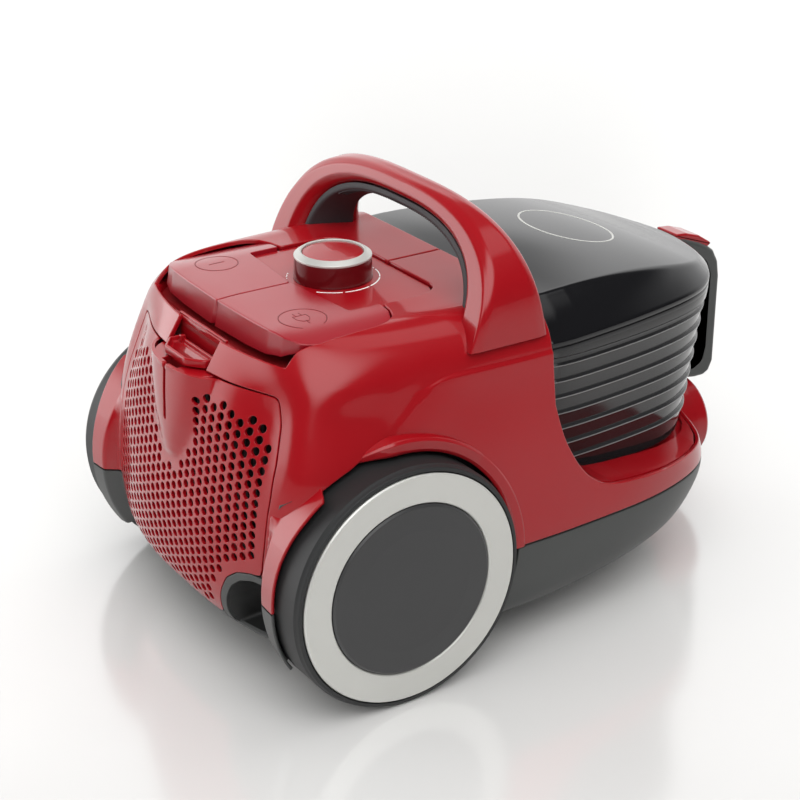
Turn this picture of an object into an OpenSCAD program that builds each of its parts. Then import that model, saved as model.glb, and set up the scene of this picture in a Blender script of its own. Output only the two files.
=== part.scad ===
// Bagless canister vacuum cleaner: two large rear wheels, a swivelling front caster,
// a carry handle across the body, a lift-out dust cup with its lid, two pedals, a power knob
// and a perforated exhaust cover at the back. Units: millimetres.
// +X is the machine's right side, +Y its front (hose end), +Z up, z = 0 the floor.

/* [Wheels] */
// Radius of the large rear tyres
tyre_r = 80; // [76:0.5:84]
// Distance from the centre line to the outer face of the silver wheel ring
ring_face_x = 146; // [142:0.5:150]
// Outer radius of the silver wheel ring
ring_r = 75.2; // [72:0.2:77]
// Radius of the dark wheel disc
disc_r = 56.2; // [52:0.2:60]
// Width of a tyre across its tread
tyre_w = 35; // [30:0.5:38]
// Radius of the wheel axle pins
axle_r = 6; // [5:0.1:7]
// Radius of the small caster wheel
caster_r = 12.5; // [11:0.5:12.5]

/* [Body] */
// Wall thickness of the red housing and the grey chassis
wall = 3; // [2.4:0.1:3.6]
// Height of the seam between housing and chassis
seam_z = 78; // [76:0.5:80]
// Height of the flat deck that carries the pedals
deck_z = 229; // [227:0.5:231]
// Radius of the wheel wells
well_r = 87; // [85:0.5:89]
// Gap between parts that move past each other
gap = 0.6; // [0.4:0.1:1]

/* [Handle] */
// Height above the floor at which the handle legs meet the body
foot_z = 211; // [208:0.5:214]
// Half the width of the carry handle at its feet
arch_a = 121; // [117:0.5:123]
// Rise of the carry handle above its feet
arch_b = 72; // [66:0.5:76]

/* [Controls] */
// Radius of the power knob at its base
knob_r = 24.9; // [22:0.1:27]
// Height of the power knob above the deck
knob_h = 15; // [12:0.5:18]
// Distance of the power knob in front of the wheel axle
knob_y = 36.5; // [34:0.5:40]

/* [Dust cup] */
// Height of the bottom of the dust cup
cup_z = 90; // [89:0.5:92]
// Height of the upper rim of the dust cup
cup_top = 195; // [193:0.5:196]
// Wall thickness of the transparent cup
cup_wall = 2.4; // [2:0.1:3]
// Number of horizontal steps moulded in the cup wall
cup_steps = 7; // [4:1:9]
// Height of the upper rim of the lid's edge band
lid_edge_z = 203; // [201:0.5:205]

/* [Hose inlet] */
// Inner radius of the hose inlet bore
hose_r = 19; // [16:0.5:20]
// Length of the hose inlet bore
hose_len = 40; // [30:1:44]
// Height of the hose inlet axis
hose_z = 55; // [54:0.5:57]

/* [Exhaust cover] */
// Radius of the cover's exhaust holes
vent_r = 2.7; // [2:0.1:3]
// Spacing of the cover's exhaust holes
vent_pitch = 14; // [12:0.5:18]

/* [Hidden] */
axle_y = -135.5;          // wheel axle measured from the middle of the length
axle_z = tyre_r;
tyre_x0 = ring_face_x - 1 - tyre_w;
well_x = 104;
arch_n = 2.6;
arch_steps = 26;
ring_steps = 3;
pedal_pivot = [30, 222];
stem_y = -14;
caster_y = 208;
caster_trail = 12;
inlet_y = 272;
motor_z = 148;
reel_x = -12;
reel_y = 33;
reel_r = 52;
// Sections of the fender behind a wheel: angle round the axle, reach of the shell there, crest
fender_rows = [[118, 87, 131], [128, 87, 130.4], [138, 86, 128.6], [148, 82.5, 126], [158, 78, 124],
               [168, 75, 123], [178, 73.5, 122.5], [188, 73, 122], [198, 73, 121], [207, 72.5, 119],
               [215, 71.5, 116]];
fender_r = 83.6;
screw_spots = [[-92, 126], [92, 126], [-85.6, 190], [85.6, 190]];

// Half outlines of the body seen from above, from the rear centre round the right side
// to the front centre, each with its height; y is measured from the wheel axle.
body_rows = [
    [26, [[0, -56], [38, -55], [66, -51], [82, -45], [94, -34], [103, -18], [107, 0],
          [113, 50], [115, 110], [108, 158], [95, 198], [76, 228], [42, 250], [0, 258]]],
    [30, [[0, -67], [42, -65.5], [74, -60], [91, -53], [105, -42], [114, -25], [120, 0],
          [127, 50], [128, 110], [121, 160], [108, 205], [88, 240], [50, 264], [0, 274]]],
    [42, [[0, -79], [45, -77.5], [79, -71], [97, -64], [111, -53], [121, -32], [126, 0],
          [130, 50], [132, 110], [128, 165], [117, 218], [97, 254], [56, 280], [0, 292]]],
    [56, [[0, -85], [46, -83], [80, -77], [98, -70], [114, -57], [125, -34], [130, 0],
          [133, 50], [134, 110], [131, 165], [122, 219], [102, 261], [59, 289], [0, 303]]],
    [78, [[0, -87.4], [46, -85.4], [80, -79], [99, -74], [116, -66], [128, -42], [131.5, 0],
          [134, 50], [136, 110], [133.5, 165], [125.5, 221], [105, 266], [60, 294], [0, 311]]],
    [100, [[0, -88], [46, -85.6], [79, -78.5], [97, -74], [115, -66.5], [127.5, -43], [131, 0],
          [133, 50], [135, 110], [133, 165], [126, 217], [103, 261], [59, 287], [0, 301]]],
    [150, [[0, -82.5], [43, -80], [76, -73], [95, -66], [112, -61.5], [124, -40], [127, 0],
          [129, 50], [130, 110], [128, 165], [119, 215], [99, 257], [57, 283], [0, 297]]],
    [190, [[0, -75], [38, -72.5], [67, -63.5], [85, -55], [103, -51], [113, -33], [118.5, 5],
          [122, 50], [124.5, 110], [122, 165], [113, 215], [95, 255], [55, 281], [0, 294]]],
    [208, [[0, -64], [36, -62.5], [64, -57], [84, -51.5], [99.5, -43], [109.5, -23], [113.5, 5],
          [118, 50], [121, 110], [118, 165], [110, 215], [92, 253], [53, 279], [0, 291]]],
    [222, [[0, -55], [34, -54], [59, -51], [76, -46], [89, -36], [97.5, -18], [103, 5],
          [107, 50], [109, 110], [106, 165], [100, 215], [84, 251], [49, 275], [0, 287]]],
    [229, [[0, -48], [31, -47.5], [53, -45.5], [69, -41], [79, -32], [86, -16], [90, 5],
          [93, 50], [95, 110], [92, 165], [86, 215], [72, 249], [42, 271], [0, 283]]],
];

// Half outlines of the dust cup, lower end and upper end.
cup_low = [[0, 126], [56, 126], [86, 127.2], [95, 133], [98, 146], [98, 172], [95, 215],
           [91, 241], [79, 265], [50, 287], [0, 299]];
cup_high = [[0, 122], [60, 122], [97, 123], [108, 128], [111, 140], [110, 167], [105.5, 208],
            [98, 245], [86, 275], [56, 300], [0, 313]];

// Lid stations along y: [y, half width, crown height]
lid_rows = [[119.8, 119.5, 228], [132, 120.2, 228.4], [150, 119, 228.6], [175, 116.2, 228],
            [200, 112.6, 226.4], [220, 109, 224.4], [240, 104.6, 221.6], [256, 99.6, 218.6],
            [270, 92.6, 215.4], [282, 83, 212.2], [292, 71, 209.6], [301, 56, 207.4],
            [308, 38, 205.6], [313, 18, 204.4], [314.6, 6, 203.8]];

// Height of the cradle rim along the side: [y, z]
rim_line = [[119, 165], [122.2, 151], [129, 133], [137, 119.5], [146, 109.5], [156, 103],
            [165, 100.4], [180, 98.4], [215, 95], [261, 91.5], [290, 88], [330, 86]];

// Outline of the rear cover in x and z
cover_line = [[-85, 196], [-91, 182], [-95.5, 160], [-97, 140], [-96.5, 110], [-94, 80],
              [-90, 56], [-85, 45], [-78, 42], [50, 42], [53, 52], [57, 64], [64, 76],
              [74, 83.5], [86, 87], [95.2, 88], [96.5, 110], [97, 140], [95.5, 160],
              [91, 182], [85, 196]];

// Outline of the right pedal and of the control tongue in x and y
pedal_line = [[0.4, -52], [40, -51], [62, -49.4], [75, -45.6], [83.5, -38], [87.5, -26], [88.5, -8],
              [88.5, 10], [86.5, 20], [81, 27.5], [72, 31.5], [61.6, 33.5], [61.4, 10.4], [0.4, 5]];
tongue_line = [[0, 6.2], [60.6, 11.6], [61, 36], [61.2, 58], [60, 68], [55.5, 74.5], [48, 77.5],
               [-48, 77.5], [-55.5, 74.5], [-60, 68], [-61.2, 58], [-61, 36], [-60.6, 11.6]];

// Which part to draw

// ---------- small helpers ----------
function lerp(a, b, t) = a + (b - a) * t;
function spline(a, b, c, d, t) =
    0.5 * (2 * b + (c - a) * t + (2 * a - 5 * b + 4 * c - d) * t * t + (3 * b - a - 3 * c + d) * t * t * t);
function flip(p) = [-p[0], p[1]];
function at(pts, i) =
    i < 0 ? flip(pts[-i]) : i > len(pts) - 1 ? flip(pts[2 * (len(pts) - 1) - i]) : pts[i];
function half_curve(pts, k) =
    [for (i = [0 : len(pts) - 2]) for (j = [0 : k - 1])
        spline(at(pts, i - 1), at(pts, i), at(pts, i + 1), at(pts, i + 2), j / k)];
function ring(pts, k = ring_steps) =
    let (right = half_curve(pts, k), n = len(right), last = pts[len(pts) - 1])
    concat(right, [last], [for (i = [n - 1 : -1 : 1]) flip(right[i])]);
function inset(pts, w) =
    [for (i = [0 : len(pts) - 1])
        let (t = at(pts, i + 1) - at(pts, i - 1), n = [t[1], -t[0]] / norm(t)) pts[i] - w * n];
function lift(pts, z) = [for (p = pts) [p[0], p[1], z]];
function mirror_line(pts) = [for (i = [len(pts) - 1 : -1 : 0]) flip(pts[i])];
function power(c, n) = sign(c) * pow(abs(c), 2 / n);

// Closed solid through rings that all have the same number of points.
module skin(rings) {
    n = len(rings[0]);
    m = len(rings);
    polyhedron(
        points = [for (r = rings) for (p = r) p],
        faces = concat(
            [[for (i = [0 : n - 1]) i]],
            [for (k = [0 : m - 2]) for (i = [0 : n - 1])
                [k * n + i, (k + 1) * n + i, (k + 1) * n + (i + 1) % n]],
            [for (k = [0 : m - 2]) for (i = [0 : n - 1])
                [k * n + i, (k + 1) * n + (i + 1) % n, k * n + (i + 1) % n]],
            [[for (i = [n - 1 : -1 : 0]) (m - 1) * n + i]]));
}

// Everything is written from the wheel axle; this moves it into the part's frame.
module place() {
    translate([0, axle_y, 0]) children();
}

module one_mesh() {
    resize([0, 0, 0]) children();
}

module along_x(x0, x1, r, y = 0, z = axle_z, fn = 96) {
    translate([x0, y, z]) rotate([0, 90, 0]) cylinder(r = r, h = x1 - x0, $fn = fn);
}

module along_y(y0, y1, r, x = 0, z = 0, fn = 96) {
    translate([x, y0, z]) rotate([-90, 0, 0]) cylinder(r = r, h = y1 - y0, $fn = fn);
}

// A slab of the side profile (y, z), running the full width.
module side_slab(pts, x0 = -160, x1 = 160) {
    translate([x0, 0, 0]) rotate([90, 0, 90]) linear_extrude(height = x1 - x0) polygon(pts);
}

// A slab of the rear profile (x, z), running from y0 to y1.
module rear_slab(pts, y0, y1) {
    translate([0, y1, 0]) rotate([90, 0, 0]) linear_extrude(height = y1 - y0) polygon(pts);
}

module cover_area(grow, y0, y1) {
    translate([0, y1, 0]) rotate([90, 0, 0]) linear_extrude(height = y1 - y0)
        offset(delta = grow) polygon(cover_line);
}

module plan_slab(pts, z0, z1) {
    translate([0, 0, z0]) linear_extrude(height = z1 - z0) polygon(pts);
}

// ---------- body surfaces ----------
module body_solid(w = 0) {
    top = w > 0 ? w : 0;
    skin([for (row = body_rows)
        lift(ring(inset(row[1], w)), row[0] > 200 ? row[0] - top : row[0] < 35 ? row[0] + top : row[0])]);
}

module wells(r, x) {
    along_x(x, 170, r, fn = 64);
    along_x(-170, -x, r, fn = 64);
}

module cup_space(grow, z0, z1) {
    skin([lift(ring(inset(cup_low, -grow), 2), z0), lift(ring(inset(cup_high, -grow), 2), z1)]);
}

module above_rim() {
    side_slab(concat([[119, 260]], rim_line, [[340, 86], [340, 260]]));
}

// Ledge that runs round the cup just below the cradle rim.
module rim_band(t) {
    side_slab(concat([[119, 110]], [for (p = rim_line) if (p[0] > 140) p], [[330, 86 - t]],
        [for (i = [len(rim_line) - 1 : -1 : 0]) if (rim_line[i][0] > 150) [rim_line[i][0], rim_line[i][1] - t]],
        [[119, 100]]));
}

// Fenders behind the wheels, between two heights.
module fenders(z0, z1) {
    difference() {
        for (s = [0, 1]) mirror([s, 0, 0]) skin([for (f = fender_rows)
            let (c = cos(f[0]), e = sin(f[0]), out = fender_r + 2.2 * max(0, e))
            [for (p = [[94, f[1] - 4], [103.4, f[1] - 6.5], [108.2, 81.5], [f[2], out - 2], [f[2], out],
                       [106.6, out - 0.6], [101, f[1] - 1.6], [94, f[1] - 1]])
                [p[0], p[1] * c, axle_z + p[1] * e]]]);
        translate([-200, -150, z0 - 200]) cube([400, 300, 200]);
        translate([-200, -150, z1]) cube([400, 300, 200]);
        cover_area(gap, -120, -45.8);
        rear_slab([[50, 30], [101.4, 30], [101.4, 88.4], [50, 88.4]], -120, -40);
    }
}

module deck_opening(g = 0) {
    pts = [[-90 - g, 20], [-90 - g, -30], [-84 - g, -44], [-80 - g, -100], [80 + g, -100], [84 + g, -44],
           [90 + g, -30], [90 + g, 20], [86 + g, 28], [76, 34], [62.6, 36], [62.8, 60], [61, 70],
           [56, 76.5], [48, 79.3], [-48, 79.3], [-56, 76.5], [-61, 70], [-62.8, 60], [-62.6, 36],
           [-76, 34], [-86 - g, 28]];
    plan_slab(pts, 212, 250);
}

module base_chassis() {
    color([0.2, 0.2, 0.2]) place() one_mesh() {
        fenders(20, seam_z - 0.25);
        chassis_tub();
    }
}

module chassis_tub() {
    difference() {
        union() {
            difference() {
                body_solid(0);
                body_solid(wall);
            }
            intersection() {
                body_solid(0.5);
                union() {
                    wells(well_r + 2.5, well_x - 2.5);
                    for (s = [-1, 1])
                        along_x(min(s * 84, s * 103), max(s * 84, s * 103), 13, 0, axle_z - 14, 24);
                    translate([0, caster_y, 0]) cylinder(r = 37, h = 38, $fn = 40);
                    translate([0, caster_y, 30]) cylinder(r = 11, h = 25, $fn = 32);
                    // ribs that carry the reel and the motor
                    for (x = [-60, 60]) translate([x - 1.5, -50, 28]) cube([3, 150, 10]);
                    for (y = [-40, 30, 95]) translate([-100, y - 1.5, 28]) cube([200, 3, 10]);
                    // four bosses that take the housing screws
                    for (p = screw_spots) translate([p[0], p[1], 28]) cylinder(r = 6, h = 46, $fn = 20);
                }
            }
        }
        translate([-200, -200, seam_z - 0.25]) cube([400, 700, 300]);
        wells(well_r, well_x);
        cover_area(gap, -120, -45.8);
        rear_slab([[50, 40.6], [101.2, 40.6], [101.2, 100], [50, 100]], -120, -55.7);
        translate([0, caster_y, -1]) cylinder(r = 34.5, h = 36, $fn = 40);
        translate([0, caster_y, 30]) cylinder(r = 5.3, h = 60, $fn = 32);
        along_y(285, 360, 32.4, 0, hose_z, 48);
        along_y(240, 300, 24.5, 0, hose_z, 36);
        for (s = [-1, 1]) along_x(s > 0 ? 80 : -110, s > 0 ? 110 : -80, axle_r + 0.2, 0, axle_z, 32);
        for (p = screw_spots) translate([p[0], p[1], 10]) cylinder(r = 2, h = 80, $fn = 12);
    }
}

module main_shell() {
    color([0.72, 0.04, 0.06]) place() one_mesh() {
        fenders(seam_z + 0.25, 250);
        upper_shell();
    }
}

module upper_shell() {
    difference() {
        union() {
            difference() {
                body_solid(0);
                body_solid(wall);
            }
            intersection() {
                body_solid(0.5);
                union() {
                    wells(well_r + 2.5, well_x - 2.5);
                }
            }
            intersection() {
                for (s = [-1, 1]) difference() {
                    along_x(min(s * 114, s * 131.5), max(s * 114, s * 131.5), well_r + 4, fn = 64);
                    along_x(s > 0 ? 110 : -140, s > 0 ? 140 : -110, well_r, fn = 64);
                }
                translate([-200, -62, 60]) cube([400, 150, 200]);
            }
        }
        translate([-200, -200, -20]) cube([400, 700, seam_z + 20.25]);
        above_rim();
        wells(well_r, well_x);
        cover_area(gap, -120, -45.8);
        rear_slab([[50, 40], [101.2, 40], [101.2, 88], [86, 87.6], [74, 84], [60, 78], [50, 60]],
            -120, -55.7);
        deck_opening(0);
        arch_solid(0.25);
        // opening that takes the cover latch
        translate([-27, -90, 188]) cube([54, 36, 17.6]);
        along_y(285, 360, 32.4, 0, hose_z, 48);
        for (s = [-1, 1]) along_x(s > 0 ? 90 : -110, s > 0 ? 110 : -90, axle_r + 0.2, fn = 32);
    }
}

// Wall behind the cup, floor under it and the ledge round it.
module cup_cradle() {
    color([0.5, 0.03, 0.05]) place() one_mesh() difference() {
        intersection() {
            body_solid(wall + 0.05);
            union() {
                translate([-150, 115.4, seam_z + 0.5]) cube([300, 3, 160]);
                translate([-150, 116, 84]) cube([300, 230, 2.8]);
                intersection() {
                    difference() {
                        rim_band(3);
                        cup_space(2.6, 70, 230);
                    }
                    translate([-150, 119, 60]) cube([300, 300, 60]);
                }
                difference() {
                    cup_space(5, 85, 195);
                    cup_space(2.6, 84, 196);
                    translate([-150, 100, 108]) cube([300, 300, 100]);
                }
                // bosses for the housing screws
                for (p = screw_spots)
                    translate([p[0], p[1], seam_z + 0.5]) cylinder(r = 6, h = 7, $fn = 20);
            }
        }
        translate([0, 0.1, 0.05]) above_rim();
        arch_solid(0.25);
        // air port into the motor, behind the cup
        along_y(100, 125, 30, 0, motor_z, 40);
        // port for the inlet duct in the cup floor
        translate([0, inlet_y, 70]) cylinder(r = 21.3, h = 30, $fn = 40);
        along_y(285, 360, 32.4, 0, hose_z, 48);
        for (p = screw_spots) translate([p[0], p[1], 60]) cylinder(r = 1.6, h = 22, $fn = 12);
    }
}

// Tray under the pedals with the frame that holds the exhaust filter.
module service_frame() {
    color([0.2, 0.2, 0.2]) place() one_mesh() difference() {
        intersection() {
            body_solid(wall + 0.05);
            union() {
                translate([-96, -58, 206]) cube([192, 142, 2.6]);
                difference() {
                    translate([-82, -45, 56]) cube([164, 22, 132]);
                    translate([-77, -50, 61]) cube([154, 40, 122]);
                }
                translate([-82, -45, 187]) cube([164, 3, 20]);
            }
        }
        translate([0, knob_y, 200]) cylinder(r = 6, h = 12, $fn = 24);
        for (x = [-39, 39]) translate([x - 5, stem_y - 5, 200]) cube([10, 10, 12]);
    }
}

// ---------- carry handle ----------
function arch(t, a, b, n, y0, k) =
    [power(cos(t), n) * a, y0 + k * b * abs(power(sin(t), n)), foot_z + b * abs(power(sin(t), n))];
function arch_section(t, g = 0) = [
    arch(t, arch_a + g, arch_b + g, arch_n, 57.5 - g, 0.39),
    arch(t, arch_a + 1 + g, arch_b + 2 + g, arch_n + 0.3, 64, 0.34),
    arch(t, arch_a + 1.5 + g, arch_b + 2.5 + g, arch_n + 0.4, 108, -0.16),
    arch(t, arch_a + g, arch_b + 1.5 + g, arch_n + 0.3, 115.5 + g, -0.2),
    arch(t, 86 - g, 61.5 - g, 2.4, 114.5 + g, -0.26),
    arch(t, 82 - g, 59.5 - g, 2.3, 108, -0.22),
    arch(t, 99 - g, 62 - g, 2.75, 64, 0.34),
    arch(t, 103.5 - g, 66 - g, 2.85, 58.5 - g, 0.37)];

module arch_solid(g = 0) {
    skin([for (i = [0 : arch_steps]) arch_section(i * 180 / arch_steps, g)]);
}

module handle_shell() {
    color([0.72, 0.04, 0.06]) place() one_mesh() difference() {
        arch_solid();
        skin([for (i = [0 : arch_steps]) grip_cut(i * 180 / arch_steps)]);
    }
}

// The grip lines the inside of the arch between a rear and a front rib of the shell.
function grip_quad(t, d, e) = [
    arch(t, 96 + d, 60.5 + d, 2.75, 67 - e, 0.33),
    arch(t, 90 + d, 59.5 + d, 2.4, 104 + e, -0.2),
    arch(t, 80 - d, 55 - d, 2.3, 104 + e, -0.2),
    arch(t, 92 - d, 56.5 - d, 2.7, 67 - e, 0.33)];
function grip_cut(t) = grip_quad(t, 3, 0.15);

module handle_grip() {
    color([0.16, 0.15, 0.16]) place() one_mesh() intersection() {
        arch_solid(-0.02);
        skin([for (i = [0 : arch_steps]) grip_quad(i * 180 / arch_steps, 2.85, 0)]);
    }
}

// ---------- deck ----------
module control_tongue() {
    color([0.72, 0.04, 0.06]) place() one_mesh() difference() {
        union() {
            plan_slab(tongue_line, 226.5, deck_z + 0.5);
            // legs that stand on the tray
            for (x = [-50, 50], y = [18, 66]) translate([x - 2, y - 4, 208.7]) cube([4, 8, 19]);
            for (s = [-1, 1]) translate([s * 58 - 1.2, 14, 214]) cube([2.4, 50, 14]);
        }
        translate([0, knob_y, 200]) cylinder(r = 4, h = 50, $fn = 32);
    }
}

module knob_skirt() {
    color([0.62, 0.03, 0.05]) place() translate([0, knob_y, 0]) difference() {
        union() {
            translate([0, 0, 230]) cylinder(r = knob_r, h = knob_h - 4, $fn = 120);
            translate([0, 0, 213]) cylinder(r = 3, h = 20, $fn = 40);
        }
        translate([0, 0, 236]) cylinder(r = 19, h = 20, $fn = 90);
    }
}

module knob_ring() {
    color([0.8, 0.8, 0.8]) place() translate([0, knob_y, 230 + knob_h - 4]) rotate_extrude($fn = 120)
        polygon([[19.8, 0.02], [knob_r - 0.3, 0.02], [knob_r - 0.3, 1.6], [knob_r - 1.4, 3.2],
                 [21.4, 4], [19.8, 3.7]]);
}

module knob_cap() {
    color([0.72, 0.04, 0.06]) place() translate([0, knob_y, 236.02]) union() {
        cylinder(r = 18.9, h = knob_h - 7, $fn = 90);
        translate([0, 0, knob_h - 9.8]) cylinder(r = 19.7, h = 2.9, $fn = 120);
    }
}

module speed_control() {
    color([0.2, 0.2, 0.22]) place() translate([0, knob_y, 0]) difference() {
        union() {
            translate([-9, -9, 209.4]) cube([18, 18, 8]);
            translate([0, 0, 217.3]) cylinder(r = 4.5, h = 5, $fn = 40);
            translate([-3, -12, 208.65]) cube([6, 24, 1]);
        }
        translate([0, 0, 212]) cylinder(r = 3.06, h = 14, $fn = 40);
    }
}

module pedal(s) {
    line = s > 0 ? pedal_line : mirror_line(pedal_line);
    difference() {
        union() {
            difference() {
                plan_slab(line, 218.4, deck_z + 0.8);
                // hollow underside
                plan_slab([for (p = line) [s * max(3, abs(p[0]) - 3), lerp(p[1], -8, 0.06)]],
                    210, deck_z - 2.2);
            }
            // stem, hinge arm and hinge barrel
            translate([s * 39, stem_y, 209.1]) cylinder(r = 3.4, h = 19, $fn = 20);
            along_x(min(s * 66, s * 78), max(s * 66, s * 78), 3, pedal_pivot[0] - 2, pedal_pivot[1], 20);
            translate([min(s * 66, s * 78), pedal_pivot[0] - 5, pedal_pivot[1]]) cube([12, 6, 6]);
        }
        // the side skirt gets lower towards the hinge
        side_slab([[-30, 210], [-30, 218.5], [40, 224.5], [40, 210]], s > 0 ? 82 : -100, s > 0 ? 100 : -82);
    }
}

module power_pedal() {
    color([0.72, 0.04, 0.06]) place() one_mesh() pedal(-1);
}

module rewind_pedal() {
    color([0.72, 0.04, 0.06]) place() one_mesh() pedal(1);
}

module power_switch() {
    color([0.1, 0.1, 0.1]) place() union() {
        translate([-50, stem_y - 8, 182]) cube([22, 18, 20]);
        translate([-39, stem_y, 201.5]) cylinder(r = 3, h = 3, $fn = 24);
        for (x = [-49, -32]) translate([x, stem_y - 8, 201.5]) cube([3, 16, 4.4]);
    }
}

module control_board() {
    color([0.1, 0.3, 0.15]) place() union() {
        translate([-75, -8, 120]) cube([1.6, 68, 66]);
        for (y = [-6, 50]) translate([-77, y, 118]) cube([2.1, 8, 87.9]);
        translate([-73.5, 10, 150]) cube([14, 20, 16]);
        translate([-73.5, 38, 130]) rotate([0, 90, 0]) cylinder(r = 6, h = 16, $fn = 24);
    }
}

// ---------- exhaust side ----------
module pocket_solid(g = 0) {
    rows = [[126, 5, -82], [134, 11, -85.4], [145, 19, -86.4], [160, 27, -86.8], [178, 31, -86.2],
            [196, 33, -85]];
    skin([for (r = rows) concat(
        [[g - r[1], -60, r[0]]],
        [for (a = [180 : -15 : 0]) [(r[1] - g) * cos(a), -68 + (r[2] + 68 + g) * sin(a), r[0]]],
        [[r[1] - g, -60, r[0]]])]);
}

module rear_cover() {
    color([0.72, 0.04, 0.06]) place() one_mesh() difference() {
        union() {
            intersection() {
                difference() {
                    body_solid(0);
                    body_solid(wall);
                }
                cover_area(0, -120, -46.6);
            }
            difference() {
                pocket_solid(0);
                pocket_solid(2.4);
                body_solid(1);
            }
            // floor and side walls of the parking pocket
            translate([-8.4, -83, 153]) cube([16.8, 12.6, 2.4]);
            for (s = [-1, 1]) translate([s * 7.4 - 1, -84, 154]) cube([2, 13.4, 41]);
            translate([-8.4, -73, 153]) cube([16.8, 2, 42]);
            // hook tabs at the lower edge
            for (x = [-60, 30]) translate([x - 8, -77.6, 42.6]) cube([16, 6, 2.4]);
        }
        translate([-140, -140, 195.3]) cube([280, 200, 20]);
        translate([-1.8, -100, 157]) cube([3.6, 27, 60]);
        translate([-6.4, -84.2, 155.4]) cube([12.8, 11.2, 60]);
        translate([-6.4, -84, 187]) cube([12.8, 11, 20]);
        // exhaust holes in staggered rows, clear of the pocket and the border
        for (i = [-6 : 6], j = [0 : 10]) {
            x = i * vent_pitch + (j % 2) * vent_pitch / 2;
            z = 52 + j * vent_pitch * 0.93;
            if (abs(x) < 86 - max(0, 62 - z) * 0.8 && !(z > 128 && abs(x) < 34)
                && !(x > 42 && z < 92) && z < 186)
                translate([x, -40, z]) rotate([90, 0, 0]) cylinder(r = vent_r, h = 70, $fn = 6);
        }
    }
}

module cover_latch() {
    color([0.72, 0.04, 0.06]) place() one_mesh() difference() {
        union() {
            rear_slab([[-23, 196.9], [23, 196.9], [25, 199], [25, 204.2], [-25, 204.2], [-25, 199]], -78, -65);
            rear_slab([[-15, 196.9], [15, 196.9], [15, 203], [-15, 203]], -66, -61);
        }
        translate([0, -74, 199.2]) cylinder(r1 = 9, r2 = 14, h = 8, $fn = 32);
        rear_slab([[-9, 199.4], [9, 199.4], [12, 206], [-12, 206]], -90, -74);
        for (x = [-19, 19]) translate([x, -80, 200]) cube([2.4, 12, 10], center = false);
    }
}

module exhaust_filter() {
    color([0.9, 0.9, 0.88]) place() difference() {
        translate([-76.4, -44.6, 61.6]) cube([152.8, 19, 120.8]);
        for (x = [-66 : 12 : 66]) translate([x - 4, -45, 68]) cube([8, 14, 108]);
    }
}

module cord_outlet() {
    color([0.2, 0.2, 0.2]) place() one_mesh() difference() {
        intersection() {
            body_solid(0);
            rear_slab([[53.6, 42], [60, 41.6], [100.9, 41.6], [100.9, 87.3], [86, 86.4],
                       [74.3, 82.8], [64.6, 75.4], [57.7, 63.6], [54, 52]], -120, -56);
        }
        rear_slab([[57, 45], [98, 45], [98, 83.6], [86.4, 83], [76, 79.6], [67.6, 73], [61, 62], [57.6, 52]],
            -120, -60);
        along_y(-70, -50, 5.5, 84, 62, 24);
    }
}

// ---------- air path ----------
module hose_collar() {
    color([0.72, 0.04, 0.06]) place() translate([0, 0, hose_z]) rotate([-90, 0, 0]) rotate_extrude($fn = 120)
        polygon([[hose_r, 341 - hose_len], [hose_r, 340], [20, 341], [27.6, 341], [28, 340.2], [28.6, 340.2],
                 [29, 341], [30.6, 340.6], [32, 338.6], [32, 330], [31.4, 322], [30.4, 300], [28, 300],
                 [28, 341 - hose_len]]);
}

module inlet_duct() {
    color([0.2, 0.2, 0.2]) place() difference() {
        union() {
            along_y(inlet_y, 300.6, 22, 0, hose_z);
            translate([0, inlet_y, hose_z]) sphere(r = 22, $fn = 96);
            translate([0, inlet_y, hose_z]) cylinder(r = 21, h = 31, $fn = 96);
        }
        along_y(inlet_y, 310, 18.8, 0, hose_z);
        translate([0, inlet_y, hose_z]) sphere(r = 18.8, $fn = 96);
        translate([0, inlet_y, hose_z]) cylinder(r = 18, h = 50, $fn = 96);
    }
}

module bay_filter() {
    color([0.15, 0.15, 0.15]) place() translate([0, 0, motor_z]) rotate([-90, 0, 0]) difference() {
        union() {
            translate([0, 0, 112]) cylinder(r = 29.6, h = 7, $fn = 96);
            translate([0, 0, 118.5]) cylinder(r = 38, h = 2.9, $fn = 96);
        }
        for (a = [0 : 60 : 300]) rotate(a) translate([17, 0, 100]) cylinder(r = 7.4, h = 40, $fn = 40);
        translate([0, 0, 100]) cylinder(r = 7.4, h = 40, $fn = 40);
    }
}

// ---------- dust cup ----------
function cup_ring(z, g) =
    let (t = (z - cup_z) / (cup_top - cup_z))
    lift(ring(inset([for (i = [0 : len(cup_low) - 1]) lerp(cup_low[i], cup_high[i], t)], -g), 2), z);

module cup_stepped() {
    pitch = (184 - cup_z - 10) / cup_steps;
    skin(concat(
        [cup_ring(cup_z, -3), cup_ring(cup_z + 3, -0.6)],
        [for (k = [0 : cup_steps - 1]) for (e = [0, 1])
            cup_ring(cup_z + 10 + pitch * (k + e) - (e == 1 ? 1.4 : 0), e == 0 ? -0.7 : 0.5)],
        [cup_ring(184.4, -0.4), cup_ring(cup_top, 0)]));
}

module dust_cup() {
    color([0.25, 0.25, 0.26, 0.6]) place() one_mesh() difference() {
        union() {
            difference() {
                cup_stepped();
                skin([cup_ring(cup_z + 2.6, -cup_wall - 2.6), cup_ring(cup_z + 8, -cup_wall - 0.8),
                      cup_ring(cup_top + 5, -cup_wall)]);
            }
            translate([0, inlet_y, cup_z + 0.5]) cylinder(r = 18.6, h = 70, $fn = 36);
        }
        translate([0, inlet_y, 60]) cylinder(r = 16.6, h = 140, $fn = 36);
        translate([0, inlet_y - 25, 150]) cube([60, 50, 40], center = true);
        along_y(115, 140, 27, 0, motor_z, 36);
    }
}

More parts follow.
